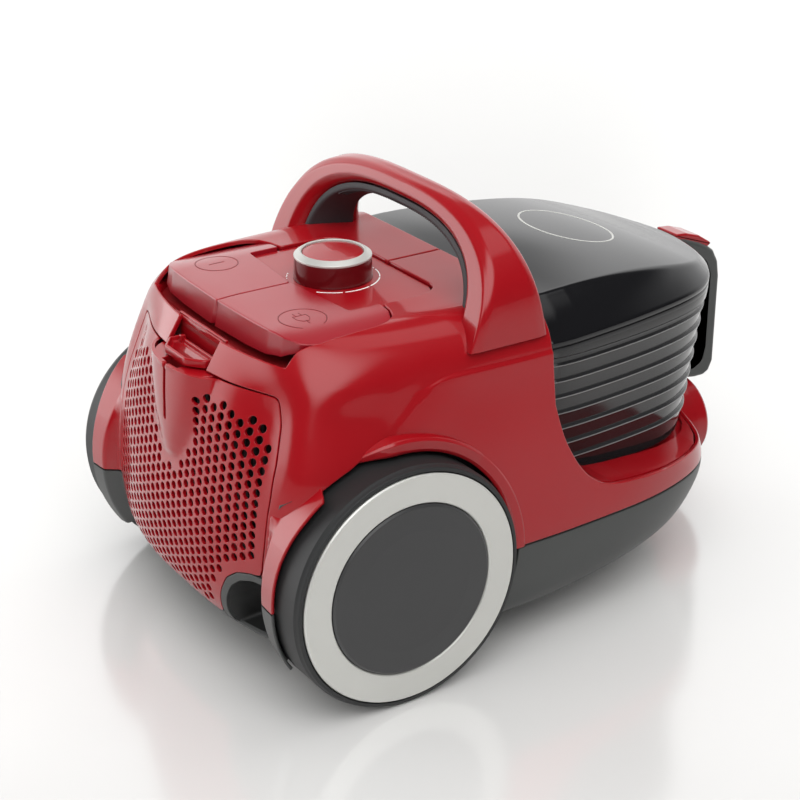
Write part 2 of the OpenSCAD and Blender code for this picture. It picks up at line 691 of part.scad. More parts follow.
module cup_rim() {
    color([0.3, 0.3, 0.3]) place() one_mesh() difference() {
        skin([cup_ring(187.6, 1), cup_ring(188.6, 2), cup_ring(194, 2), cup_ring(194.8, 1.6)]);
        skin([cup_ring(180, 0.1), cup_ring(200, 0.1)]);
        skin([cup_ring(180, -3), cup_ring(200, -3)]);
        translate([-13.2, 300, 180]) cube([26.4, 40, 30]);
    }
}

handle_profile = [[290, 98], [322, 93], [334, 89], [342, 87.6], [350, 87.4], [355.4, 90], [359, 98], [359, 165],
                  [357, 177], [352, 186], [346, 190.5], [338, 194.6], [325, 199.6], [316.4, 201.4], [315.4, 200],
                  [315.4, 194.8], [290, 194.8], [290, 186], [333, 182], [341.5, 177], [345.5, 168],
                  [345.5, 112], [343.5, 103], [337, 99.6], [324, 104], [290, 110]];

module cup_handle() {
    color([0.2, 0.2, 0.2]) place() one_mesh() difference() {
        side_slab(handle_profile, -13, 13);
        skin([cup_ring(80, 0.12), cup_ring(186.9, 0.12), cup_ring(187, 0.12), cup_ring(194.9, 0.12)]);
        // pocket of the release button
        side_slab([[317.6, 206], [317.6, 196.2], [334, 190.6], [346.6, 184], [349.4, 190],
                   [349.4, 206]], -10, 10);
    }
}

module cup_button() {
    color([0.72, 0.04, 0.06]) place() one_mesh() union() {
        side_slab([[318.2, 204.4], [318.2, 199.4], [334, 194], [345.4, 187.9], [348.4, 191.2],
                   [336, 198.6]], -9.4, 9.4);
    }
}

module cup_lid() {
    // an arch over a flat lower edge, listed from the left foot over the top
    function section(r, z0) = concat(
        [for (i = [14 : -1 : 0]) let (c = cos(i * 180 / 14), s = sin(i * 180 / 14))
            [r[1] * power(c, 2.5), r[0], lid_edge_z + (r[2] - lid_edge_z) * abs(power(s, 2.5))]],
        [[r[1], r[0], z0], [-r[1], r[0], z0]]);
    color([0.05, 0.05, 0.055]) place() one_mesh() difference() {
        skin([for (r = lid_rows) section(r, 195.6)]);
        skin([for (i = [0 : len(lid_rows) - 4]) let (r = lid_rows[i])
            section([r[0] + (i == 0 ? 3 : 0), r[1] - 4, r[2] - 3], 190)]);
    }
}

module lid_seal() {
    color([0.12, 0.12, 0.12]) place() one_mesh() difference() {
        skin([cup_ring(190, -3.1), cup_ring(195.4, -3.1)]);
        skin([cup_ring(187, -6.5), cup_ring(192, -6.5)]);
        translate([0, 200, 180]) cylinder(r = 22, h = 30, $fn = 48);
        translate([0, 150, 180]) cylinder(r = 10, h = 30, $fn = 32);
    }
}

module cyclone_cone() {
    color([0.3, 0.3, 0.32]) place() translate([0, 200, 0]) rotate_extrude($fn = 72)
        polygon([[21.9, 110], [24, 110], [36, 182], [36, 189.9], [22.4, 189.9], [22.4, 187],
                 [33.6, 187], [33.6, 182]]);
}

// ---------- motor and cord reel ----------
module motor_case() {
    color([0.6, 0.6, 0.62]) place() translate([0, 0, motor_z]) rotate([-90, 0, 0]) rotate_extrude($fn = 96)
        polygon([[4.06, 24], [30, 24], [40, 32], [40, 84], [52, 86], [52, 109], [26, 109], [26, 106.6],
                 [49.6, 106.6], [49.6, 88], [37.6, 85], [37.6, 34], [28, 26.4], [4.06, 26.4]]);
}

module motor_mount() {
    color([0.12, 0.12, 0.12]) place() difference() {
        union() {
            along_y(92, 98, 60, 0, motor_z);
            translate([-50, 92, 38.2]) cube([100, 6, 100]);
        }
        along_y(90, 100, 52.2, 0, motor_z);
        translate([-30, 90, 50]) cube([60, 10, 36]);
    }
}

module motor_rotor() {
    color([0.5, 0.35, 0.2]) place() translate([0, 0, motor_z]) rotate([-90, 0, 0]) rotate_extrude($fn = 72)
        polygon([[0, 22], [4, 22], [4, 40], [30, 41], [30, 78], [4, 79], [4, 92], [46, 92], [46, 94],
                 [24, 103], [14, 103], [4, 101], [0, 101]]);
}

module reel_drum() {
    color([0.25, 0.25, 0.25]) place() translate([reel_x, reel_y, 0]) rotate_extrude($fn = 96)
        polygon([[8.06, 44], [reel_r, 44], [reel_r, 46], [26, 46], [26, 82], [reel_r, 82],
                 [reel_r, 84], [8.06, 84]]);
}

module reel_hub() {
    color([0.3, 0.3, 0.3]) place() translate([reel_x, reel_y, 0]) rotate_extrude($fn = 72)
        polygon([[0, 38.2], [24, 38.2], [24, 43], [8, 43], [8, 85], [24, 85], [24, 92], [0, 92]]);
}

module reel_brake() {
    color([0.2, 0.2, 0.2]) place() translate([39, stem_y, 0]) union() {
        translate([0, 0, 90]) cylinder(r = 3, h = 118.8, $fn = 32);
        translate([-3, -3, 90]) cube([6, 13, 6]);
    }
}

// ---------- wheels ----------
module side_turn(s) {
    translate([0, 0, axle_z]) rotate([0, s * 90, 0]) children();
}

module tyre(s) {
    x0 = tyre_x0;
    x1 = ring_face_x - 1;
    color([0.1, 0.1, 0.1]) place() side_turn(s) rotate_extrude($fn = 160)
        polygon([[70.1, x0], [77, x0], [79, x0 + 1.2], [tyre_r, x0 + 4], [tyre_r, x1 - 4], [79.2, x1 - 1.4],
                 [77.6, x1 - 0.2], [75.6, x1 - 0.4], [75.6, x1 - 1.8], [70.1, x1 - 1.8]]);
}

module wheel(s) {
    color([0.16, 0.16, 0.16]) place() side_turn(s) rotate_extrude($fn = 120)
        polygon([[axle_r + 0.06, 108.5], [14, 108.5], [14, 118], [66, 118], [66, 111], [69.9, 111],
                 [69.9, 143.1], [66, 143.1], [66, 122], [14, 122], [14, 137.6], [axle_r + 0.06, 137.6]]);
}

module trim_ring(s) {
    color([0.75, 0.75, 0.76]) place() side_turn(s) rotate_extrude($fn = 160)
        polygon([[disc_r + 0.2, 143.3], [ring_r - 0.6, 143.3], [ring_r, 144], [ring_r, 145.2],
                 [ring_r - 0.8, ring_face_x], [disc_r + 0.9, ring_face_x], [disc_r + 0.2, 145.4]]);
}

module wheel_disc(s) {
    color([0.13, 0.13, 0.13]) place() side_turn(s) rotate_extrude($fn = 120)
        polygon([[0, 142], [disc_r, 142], [disc_r, 145.9], [disc_r - 1.6, 146.9], [46, 147.8],
                 [30, 148.4], [0, 148.7]]);
}

module axle(s) {
    color([0.6, 0.6, 0.62]) place() side_turn(s) union() {
        translate([0, 0, 85]) cylinder(r = axle_r, h = 54, $fn = 60);
        translate([0, 0, 138]) cylinder(r = 9, h = 2, $fn = 48);
    }
}

module tyre_right() tyre(1);
module wheel_right() wheel(1);
module ring_right() trim_ring(1);
module disc_right() wheel_disc(1);
module axle_right() axle(1);
module tyre_left() tyre(-1);
module wheel_left() wheel(-1);
module ring_left() trim_ring(-1);
module disc_left() wheel_disc(-1);
module axle_left() axle(-1);

module caster_fork() {
    color([0.2, 0.2, 0.2]) place() translate([0, caster_y, 0]) difference() {
        union() {
            translate([0, 0, 30]) cylinder(r = 17, h = 4.4, $fn = 60);
            translate([0, 0, 34]) cylinder(r = 5.2, h = 19, $fn = 40);
            for (x = [-11.8, 8.6]) {
                translate([x, -caster_trail - 5, caster_r]) cube([3.2, 16, 18]);
                translate([x, -caster_trail, caster_r]) rotate([0, 90, 0]) cylinder(r = 7, h = 3.2, $fn = 40);
            }
        }
        translate([-20, -caster_trail, caster_r]) rotate([0, 90, 0]) cylinder(r = 2.52, h = 40, $fn = 32);
    }
}

module caster_wheel() {
    color([0.1, 0.1, 0.1]) place() translate([-7, caster_y - caster_trail, caster_r]) rotate([0, 90, 0])
        rotate_extrude($fn = 96)
        polygon([[2.58, 0], [9, 0], [caster_r - 1.2, 0.6], [caster_r, 2.2], [caster_r, 11.8],
                 [caster_r - 1.2, 13.4], [9, 14], [2.58, 14]]);
}

module caster_pin() {
    color([0.6, 0.6, 0.62]) place() translate([-12.4, caster_y - caster_trail, caster_r]) rotate([0, 90, 0])
        cylinder(r = 2.5, h = 24.8, $fn = 32);
}

// ---------- what is drawn ----------
base_chassis();
main_shell();
cup_cradle();
service_frame();
control_tongue();
knob_skirt();
knob_ring();
knob_cap();
speed_control();
power_pedal();
rewind_pedal();
power_switch();
control_board();
handle_shell();
handle_grip();
rear_cover();
cover_latch();
exhaust_filter();
cord_outlet();
hose_collar();
inlet_duct();
bay_filter();
dust_cup();
cup_rim();
cup_handle();
cup_button();
cup_lid();
lid_seal();
cyclone_cone();
motor_case();
motor_mount();
motor_rotor();
reel_drum();
reel_hub();
reel_brake();
tyre_right();
wheel_right();
ring_right();
disc_right();
axle_right();
tyre_left();
wheel_left();
ring_left();
disc_left();
axle_left();
caster_fork();
caster_wheel();
caster_pin();
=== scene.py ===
import math

import bpy
import numpy as np
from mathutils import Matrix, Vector


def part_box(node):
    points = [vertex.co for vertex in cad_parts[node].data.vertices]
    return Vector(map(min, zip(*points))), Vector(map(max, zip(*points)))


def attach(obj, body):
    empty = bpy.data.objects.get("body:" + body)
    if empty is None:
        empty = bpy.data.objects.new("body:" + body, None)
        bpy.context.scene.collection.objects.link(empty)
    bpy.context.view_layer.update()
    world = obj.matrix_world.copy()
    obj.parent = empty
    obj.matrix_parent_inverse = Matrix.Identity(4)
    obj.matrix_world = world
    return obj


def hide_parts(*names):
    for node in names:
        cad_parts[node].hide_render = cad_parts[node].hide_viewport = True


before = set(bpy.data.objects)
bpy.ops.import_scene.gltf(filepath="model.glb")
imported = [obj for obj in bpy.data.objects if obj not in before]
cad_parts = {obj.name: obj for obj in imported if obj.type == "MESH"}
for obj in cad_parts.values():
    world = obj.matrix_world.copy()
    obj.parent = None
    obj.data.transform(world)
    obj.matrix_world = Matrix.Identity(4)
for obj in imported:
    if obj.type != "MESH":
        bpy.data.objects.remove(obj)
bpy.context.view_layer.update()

axle_low, axle_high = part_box("axle_right")
AXLE_Y = (axle_low.y + axle_high.y) / 2
AXLE_Z = (axle_low.z + axle_high.z) * 500
WELL_R = 87.0
WELL_X = 104.0
SEAM_Z = 78.0
DECK_Z = 229.3
KNOB_Y = 36.5
CUP_Z = 90.0
CUP_TOP = 195.0
FOOT_Z = 211.0
HOSE_Z = 55.0
CASTER_Y = 208.0
DECK_FLOOR = 213.6
SKIN = 2.6  # thickness of the body panels
ROLL = 0.9  # radius rolled over at the edges of the body panels
FAR = 99.0  # a distance beyond any cut
# centre and radii of the oval on the lid
LID_RING = (-6.0, 228.0, 40.0, 27.0)

# ---------------------------------------------------------------- outlines
# Half outlines of the body, rear centre round the right side to the front centre: [z, x and y pairs]
BODY_ROWS = [
    [26, 0, -56, 38, -55, 66, -51, 82, -45, 94, -34, 103, -18, 107, 0, 113, 50, 115, 110, 108, 158,
     95, 198, 76, 228, 42, 250, 0, 258],
    [30, 0, -67, 42, -65.5, 74, -60, 91, -53, 105, -42, 114, -25, 120, 0, 127, 50, 128, 110, 121, 160,
     108, 205, 88, 240, 50, 264, 0, 274],
    [42, 0, -79, 45, -77.5, 79, -71, 97, -64, 111, -53, 121, -32, 126, 0, 130, 50, 132, 110, 128, 165,
     117, 218, 97, 254, 56, 280, 0, 292],
    [56, 0, -85, 46, -83, 80, -77, 98, -70, 114, -57, 125, -34, 130, 0, 133, 50, 134, 110, 131, 165,
     122, 219, 102, 261, 59, 289, 0, 303],
    [78, 0, -87.4, 46, -85.4, 80, -79, 99, -74, 116, -66, 128, -42, 131.5, 0, 134, 50, 136, 110,
     133.5, 165, 125.5, 221, 105, 266, 60, 294, 0, 311],
    [100, 0, -88, 46, -85.6, 79, -78.5, 97, -74, 115, -66.5, 127.5, -43, 131, 0, 133, 50, 135, 110,
     133, 165, 126, 217, 103, 261, 59, 287, 0, 301],
    [150, 0, -82.5, 43, -80, 76, -73, 95, -66, 112, -61.5, 124, -40, 127, 0, 129, 50, 130, 110,
     128, 165, 119, 215, 99, 257, 57, 283, 0, 297],
    [190, 0, -75, 38, -72.5, 67, -63.5, 85, -55, 103, -51, 113, -33, 118.5, 5, 122, 50, 124.5, 110,
     122, 165, 113, 215, 95, 255, 55, 281, 0, 294],
    [208, 0, -64, 36, -62.5, 64, -57, 84, -51.5, 99.5, -43, 109.5, -23, 113.5, 5, 118, 50, 121, 110,
     118, 165, 110, 215, 92, 253, 53, 279, 0, 291],
    [222, 0, -55, 34, -54, 59, -51, 76, -46, 89, -36, 97.5, -18, 103, 5, 107, 50, 109, 110,
     106, 165, 100, 215, 84, 251, 49, 275, 0, 287],
    [228.6, 0, -48, 31, -47.5, 53, -45.5, 69, -41, 79, -32, 86, -16, 90, 5, 93, 50, 95, 110,
     92, 165, 86, 215, 72, 249, 42, 271, 0, 283]]
CUP_LOW = [(0, 126), (56, 126), (86, 127.2), (95, 133), (98, 146), (98, 172), (95, 215), (91, 241),
           (79, 265), (50, 287), (0, 299)]
CUP_HIGH = [(0, 122), (60, 122), (97, 123), (108, 128), (111, 140), (110, 167), (105.5, 208), (98, 245),
            (86, 275), (56, 300), (0, 313)]
# y, half width and crown height of the lid
LID_ROWS = [(119.8, 119.5, 228), (132, 120.2, 228.4), (150, 119, 228.6), (175, 116.2, 228),
            (200, 112.6, 226.4), (220, 109, 224.4), (240, 104.6, 221.6), (256, 99.6, 218.6),
            (270, 92.6, 215.4), (282, 83, 212.2), (292, 71, 209.6), (301, 56, 207.4),
            (308, 38, 205.6), (313, 18, 204.4), (314.6, 6, 203.8)]
# Height of the cradle rim along the side
RIM_LINE = [(119, 165), (122.2, 151), (129, 133), (137, 119.5), (146, 109.5), (156, 103), (165, 100.4),
            (180, 98.4), (215, 95), (261, 91.5), (290, 88), (330, 86)]
COVER_LINE = [(-85, 196), (-91, 182), (-95.5, 160), (-97, 140), (-96.5, 110), (-94, 80), (-90, 56),
              (-85, 45), (-78, 42), (50, 42), (53, 52), (57, 64), (64, 76), (74, 83.5), (86, 87),
              (95.2, 88), (96.5, 110), (97, 140), (95.5, 160), (91, 182), (85, 196)]
OUTLET_LINE = [(50, 38), (53, 52), (57, 64), (64, 76), (74, 83.5), (86, 87), (101.2, 88), (101.2, 38)]
PEDAL_LINE = [(0.4, -52), (40, -51), (62, -49.4), (75, -45.6), (83.5, -38), (87.5, -26), (88.5, -8),
              (88.5, 10), (86.5, 20), (81, 27.5), (72, 31.5), (61.6, 33.5), (61.4, 10.4), (0.4, 5)]
TONGUE_LINE = [(0, 6.2), (60.6, 11.6), (61, 36), (61.2, 58), (60, 68), (55.5, 74.5), (48, 77.5),
               (-48, 77.5), (-55.5, 74.5), (-60, 68), (-61.2, 58), (-61, 36), (-60.6, 11.6)]
HANDLE_LINE = [(290, 98), (322, 93), (334, 89), (342, 87.6), (350, 87.4), (355.4, 90), (359, 98),
               (359, 165), (357, 177), (352, 186), (346, 190.5), (338, 194.6), (325, 199.6),
               (316.4, 201.4), (300, 200), (290, 194.8), (290, 186), (333, 182), (341.5, 177),
               (345.5, 168), (345.5, 112), (343.5, 103), (337, 99.6), (324, 104), (290, 110)]


# ---------------------------------------------------------------- curves
def unit(v):
    return v / np.maximum(np.linalg.norm(v, axis=-1, keepdims=True), 1e-9)


def smooth(low, high, x):
    t = np.clip((np.asarray(x, float) - low) / (high - low), 0, 1)
    return t * t * (3 - 2 * t)


def spline(t, values, where):
    """Cubic spline with continuous curvature through values at t."""
    n, h = len(t), np.diff(t)
    flat = values.reshape(n, -1)
    a, r = np.eye(n), np.zeros_like(flat)
    for i in range(1, n - 1):
        a[i, i - 1:i + 2] = h[i - 1], 2 * (h[i - 1] + h[i]), h[i]
        r[i] = 6 * ((flat[i + 1] - flat[i]) / h[i] - (flat[i] - flat[i - 1]) / h[i - 1])
    m = np.linalg.solve(a, r)
    k = np.clip(np.searchsorted(t, where) - 1, 0, n - 2)
    u, g = (where - t[k])[:, None], h[k][:, None]
    out = ((m[k] * (g - u) ** 3 + m[k + 1] * u ** 3) / (6 * g)
           + (flat[k] / g - m[k] * g / 6) * (g - u) + (flat[k + 1] / g - m[k + 1] * g / 6) * u)
    return out.reshape((len(where),) + values.shape[1:])


def chord(points):
    """Mean distance travelled along the first axis."""
    step = np.linalg.norm(np.diff(points, axis=0), axis=-1)
    return np.concatenate([[0], np.cumsum(step.reshape(len(step), -1).mean(1))])


def closed_spline(points, count):
    wrap, n = 4, len(points)
    ext = np.concatenate([points[-wrap:], points, points[:wrap + 1]])
    t = chord(ext)
    return spline(t, ext, np.linspace(t[wrap], t[wrap + n], count, endpoint=False))


def open_spline(points, count):
    points = np.asarray(points, float)
    t = chord(points)
    return spline(t, points, np.linspace(0, t[-1], count))


def full(half):
    """A half outline from rear to front, and its mirror image back to the rear."""
    half = np.asarray(half, float)
    return np.concatenate([half, half[-2:0:-1] * (-1, 1)])


def mirrored(line):
    return [(-x, y) for x, y in reversed(line)]


def rounded(points, radius, seg=4):
    """A closed polygon with rounded corners, and its outward normals."""
    p = np.asarray(points, float)
    n = len(p)
    x, y = p[:, 0], p[:, 1]
    turn = 1 if np.sum(x * np.roll(y, -1) - np.roll(x, -1) * y) > 0 else -1
    line, normals = [], []
    for i in range(n):
        a, b, c = p[i - 1], p[i], p[(i + 1) % n]
        d0, d1 = unit(b - a), unit(c - b)
        half = math.acos(max(-1, min(1, float(d0 @ d1)))) / 2
        r = radius[i] if hasattr(radius, "__len__") else radius
        cut = min(r * math.tan(half), 0.46 * np.linalg.norm(b - a), 0.46 * np.linalg.norm(c - b))
        n0, n1 = turn * np.array([d0[1], -d0[0]]), turn * np.array([d1[1], -d1[0]])
        for k in range(seg + 1):
            t = k / seg
            line.append((1 - t) ** 2 * (b - d0 * cut) + 2 * t * (1 - t) * b + t * t * (b + d1 * cut))
            normals.append(unit((1 - t) * n0 + t * n1))
    return np.array(line), np.array(normals)


def sdf(outline):
    """Signed distance to a closed outline, positive inside, as a function of an (n, 2) array."""
    a = np.asarray(outline, float)
    b = np.roll(a, -1, 0)
    e = b - a

    def distance(q):
        best = np.full(len(q), 1e9)
        inside = np.zeros(len(q), bool)
        for (ax, ay), by, (ex, ey) in zip(a, b[:, 1], e):
            t = np.clip(((q[:, 0] - ax) * ex + (q[:, 1] - ay) * ey) / (ex * ex + ey * ey + 1e-12), 0, 1)
            best = np.minimum(best, np.hypot(q[:, 0] - ax - t * ex, q[:, 1] - ay - t * ey))
            span = (ay > q[:, 1]) != (by > q[:, 1])
            inside ^= span & (q[:, 0] < ex * (q[:, 1] - ay) / (ey if abs(ey) > 1e-9 else 1e-9) + ax)
        return np.where(inside, best, -best)
    return distance


def within(shape, margin):
    """A field that keeps what lies in an outline seen from above, margin away from its edge."""
    return lambda p: shape(p[:, :2]) - margin


def beyond(shape, margin):
    """A field that keeps what lies outside an outline seen from above."""
    return lambda p: -shape(p[:, :2]) - margin


def outward(line):
    """Normals of a closed outline that runs anticlockwise."""
    d = unit(np.roll(line, -1, 0) - np.roll(line, 1, 0))
    return np.c_[d[:, 1], -d[:, 0]]


def level_ring(line, normals, grow, height):
    """An outline moved out along its normals and set at a height."""
    return np.c_[line + normals * grow, np.full(len(line), height)]


# ---------------------------------------------------------------- surfaces
class Sheet:
    """An open surface: vertices, outward normals and faces."""

    def __init__(self, v, n, f):
        self.v, self.n, self.f = np.asarray(v, float), unit(np.asarray(n, float)), f

    @classmethod
    def grid(cls, p, closed=False):
        rows, cols = p.shape[:2]
        du = np.roll(p, -1, 1) - np.roll(p, 1, 1) if closed else np.gradient(p, axis=1)
        n = unit(np.cross(du, np.gradient(p, axis=0)))
        f = [(w * cols + u, w * cols + (u + 1) % cols, (w + 1) * cols + (u + 1) % cols, (w + 1) * cols + u)
             for w in range(rows - 1) for u in range(cols if closed else cols - 1)]
        return cls(p.reshape(-1, 3), n.reshape(-1, 3), f)

    def weld(self):
        _, first, back = np.unique(np.round(self.v, 3), axis=0, return_index=True, return_inverse=True)
        back = back.ravel()
        total = np.zeros((len(first), 3))
        np.add.at(total, back, self.n)
        faces = []
        for face in self.f:
            g = [int(back[i]) for i in face]
            g = [i for k, i in enumerate(g) if i != g[k - 1]]
            if len(set(g)) > 2:
                faces.append(tuple(g))
        return Sheet(self.v[first], total, faces)

    def flipped(self):
        """The same surface, facing the other way."""
        return Sheet(self.v, -self.n, [tuple(reversed(face)) for face in self.f])

    def facing_normals(self):
        """Drops faces of no area and turns every face to its normals."""
        v, n, faces = self.v, self.n, []
        for face in self.f:
            q = v[list(face)]
            cross = np.cross(q[2] - q[0], q[3 % len(q)] - q[1] if len(q) > 3 else q[1] - q[0])
            if np.linalg.norm(cross) < 1e-7:
                continue
            faces.append(face if cross @ n[list(face)].sum(0) > 0 else tuple(reversed(face)))
        return Sheet(v, n, faces)

    def clip(self, *fields):
        """The part where every field (a function of the vertices) is positive."""
        out = self
        for field in fields:
            out = out.cut(field)
        return out

    def cut(self, field):
        """The part where one field is positive, with the faces across its edge divided."""
        d = field(self.v)
        keep = d >= 0
        if keep.all():
            return self
        v, n, made, faces = list(self.v), list(self.n), {}, []
        for face in self.f:
            marks = [keep[i] for i in face]
            if all(marks):
                faces.append(face)
                continue
            if not any(marks):
                continue
            poly = []
            for i, j in zip(face, face[1:] + face[:1]):
                if keep[i]:
                    poly.append(i)
                if keep[i] != keep[j]:
                    key = (min(i, j), max(i, j))
                    if key not in made:
                        t = min(max(d[key[0]] / (d[key[0]] - d[key[1]]), 0.01), 0.99)
                        made[key] = len(v)
                        v.append(v[key[0]] * (1 - t) + v[key[1]] * t)
                        n.append(unit(n[key[0]] * (1 - t) + n[key[1]] * t))
                    poly.append(made[key])
            if len(poly) > 2:
                faces.append(tuple(poly))
        used = sorted({i for face in faces for i in face})
        place = {old: new for new, old in enumerate(used)}
        return Sheet(np.array(v)[used], np.array(n)[used], [tuple(place[i] for i in face) for face in faces])

    def shell(self, thick, radius, skirt=None, flare=None, steps=3):
        """A closed solid: this surface with its edge rolled over, and a back side."""
        skirt = skirt or thick
        edges = {(i, j) for face in self.f for i, j in zip(face, face[1:] + face[:1])}
        border = [e for e in edges if (e[1], e[0]) not in edges]
        border.sort()
        out = np.zeros_like(self.v)
        for i, j in border:
            o = unit(np.cross(self.v[j] - self.v[i], self.n[i] + self.n[j]))
            out[i] += o
            out[j] += o
        rim = sorted({i for e in border for i in e})
        o = out[rim]
        o -= np.sum(o * self.n[rim], 1)[:, None] * self.n[rim]
        size = np.linalg.norm(o, axis=1)
        o = unit(o)
        miter = np.clip(2 / np.maximum(size, 0.5), 1, 1.5)[:, None]
        base, nr = self.v[rim], self.n[rim]
        r = np.broadcast_to(radius(base) if callable(radius) else radius, (len(rim),))[:, None]
        deep = np.broadcast_to(skirt(base) if callable(skirt) else skirt, (len(rim),))[:, None]
        push = flare(base, o)[:, None] if flare else np.zeros((len(rim), 1))
        v, n, faces, place = [self.v], [self.n], list(self.f), {i: k for k, i in enumerate(rim)}
        loops, total = [rim], len(self.v)

        def add(points, normals):
            nonlocal total
            v.append(points)
            n.append(normals)
            loops.append(list(range(total, total + len(rim))))
            total += len(rim)
        for k in range(1, steps + 1):
            a = k * math.pi / 2 / steps
            add(base + o * r * miter * math.sin(a) - nr * r * (1 - math.cos(a)),
                unit(o * math.sin(a) + nr * math.cos(a)))
        add(base + o * (r * miter + push) - nr * np.maximum(deep, r * 1.01), o)
        add(base + o * (r * miter + push) * 0.999 - nr * np.maximum(deep, r * 1.01) * 1.0001, -nr)
        back = total
        v.append(self.v - self.n * thick)
        n.append(-self.n)
        for i, j in border:
            a, b = place[i], place[j]
            for low, high in zip(loops, loops[1:]):
                faces.append((low[b], low[a], high[a], high[b]))
            faces.append((loops[-1][b], loops[-1][a], back + i, back + j))
        faces += [tuple(back + i for i in reversed(face)) for face in self.f]
        return Sheet(np.concatenate(v), np.concatenate(n), faces)


def merge(sheets):
    v, n, f, start = [], [], [], 0
    for s in sheets:
        v.append(s.v)
        n.append(s.n)
        f += [tuple(i + start for i in face) for face in s.f]
        start += len(s.v)
    return Sheet(np.concatenate(v), np.concatenate(n), f)


def loft(rings):
    """A closed solid through rings, facing outwards."""
    p = np.asarray(rings, float)
    s = Sheet.grid(p, closed=True)
    middle = p.mean(1, keepdims=True)
    cols = p.shape[1]
    if np.sum((p - middle).reshape(-1, 3) * s.n) < 0:
        s = s.flipped()
    parts = [s]
    for k, other in ((0, 1), (-1, -2)):
        away = unit((middle[k] - middle[other]).reshape(3))
        face = tuple(range(cols))
        e = p[k] - middle[k]
        if np.cross(e, np.roll(e, -1, 0)).sum(0) @ away < 0:
            face = tuple(reversed(face))
        parts.append(Sheet(p[k], np.tile(away, (cols, 1)), [face]))
    return merge(parts)


def pad(outline, normals, low, high, r_top, r_low=0.4, steps=4, put=None):
    """A plate with rounded edges between two heights; put maps (a, b, h) to x, y, z."""
    rows, rn = [], []
    for r, z, sign in ((r_low, low, -1), (r_top, high, 1)):
        span = range(steps, -1, -1) if sign < 0 else range(steps + 1)
        for k in span:
            a = k * math.pi / 2 / steps
            rows.append(np.c_[outline - normals * r * (1 - math.cos(a)),
                              np.full(len(outline), z - sign * r * (1 - math.sin(a)))])
            rn.append(np.c_[normals * math.cos(a), np.full(len(outline), sign * math.sin(a))])
    p, n = np.array(rows), np.array(rn)
    put = put or (lambda q: q)
    cols = p.shape[1]
    side = Sheet(p.reshape(-1, 3), n.reshape(-1, 3), Sheet.grid(p, closed=True).f)
    area = np.sum(outline[:, 0] * np.roll(outline[:, 1], -1) - np.roll(outline[:, 0], -1) * outline[:, 1])
    ring = tuple(range(cols))
    parts = [side, Sheet(p[-1], np.tile((0, 0, 1.0), (cols, 1)), [ring]),
             Sheet(p[0], np.tile((0, 0, -1.0), (cols, 1)), [tuple(reversed(ring))])]
    s = merge(parts)
    faces = s.f if area > 0 else [tuple(reversed(f)) for f in s.f]
    v, n = put(s.v), put(s.n) - put(np.zeros((1, 3)))
    if np.linalg.det(put(np.eye(3)) - put(np.zeros((1, 3)))) < 0:
        faces = [tuple(reversed(f)) for f in faces]
    return Sheet(v, n, faces)


def lathe(profile, radius, axis, at, sign=1, steps=128, seg=4):
    """A turned solid: profile of (radius, height), rounded, about an axis through at."""
    line, normals = rounded(profile, radius, seg)
    a = np.arange(steps) * 2 * math.pi / steps
    r, h = np.maximum(line[:, 0], 0)[:, None], line[:, 1][:, None] * sign
    p = np.stack([r * np.cos(a), r * np.sin(a), h + 0 * a], -1)
    n = np.stack([normals[:, :1] * np.cos(a), normals[:, :1] * np.sin(a),
                  normals[:, 1:] * sign + 0 * a], -1)
    m = len(line)
    faces = [(i * steps + k, i * steps + (k + 1) % steps, (i + 1) % m * steps + (k + 1) % steps,
              (i + 1) % m * steps + k) for i in range(m) for k in range(steps)]
    order = {"x": (2, 0, 1), "y": (0, 2, 1), "z": (0, 1, 2)}[axis]
    v = p.reshape(-1, 3)[:, order] + np.asarray(at, float)
    n = n.reshape(-1, 3)[:, order]
    return Sheet(v, n, faces).facing_normals()


def add_object(name, data):
    obj = bpy.data.objects.new(name, data)
    bpy.context.scene.collection.objects.link(obj)
    return obj


def make(name, sheet, material, body, replaces=()):
    """Turns a Sheet into an object that rides on a body."""
    co = sheet.v / 1000
    co[:, 1] += AXLE_Y
    mesh = bpy.data.meshes.new(name)
    mesh.from_pydata(co.tolist(), [], sheet.f)
    mesh.polygons.foreach_set("use_smooth", [True] * len(mesh.polygons))
    mesh.normals_split_custom_set_from_vertices(sheet.n.tolist())
    mesh.materials.append(material)
    obj = add_object(name, mesh)
    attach(obj, body)
    if replaces:
        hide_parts(*replaces)
    return obj


# ---------------------------------------------------------------- materials
GRAIN_DEPTH = 0.0002


def set_inputs(node, values):
    for key, value in values.items():
        node.inputs[key].default_value = value


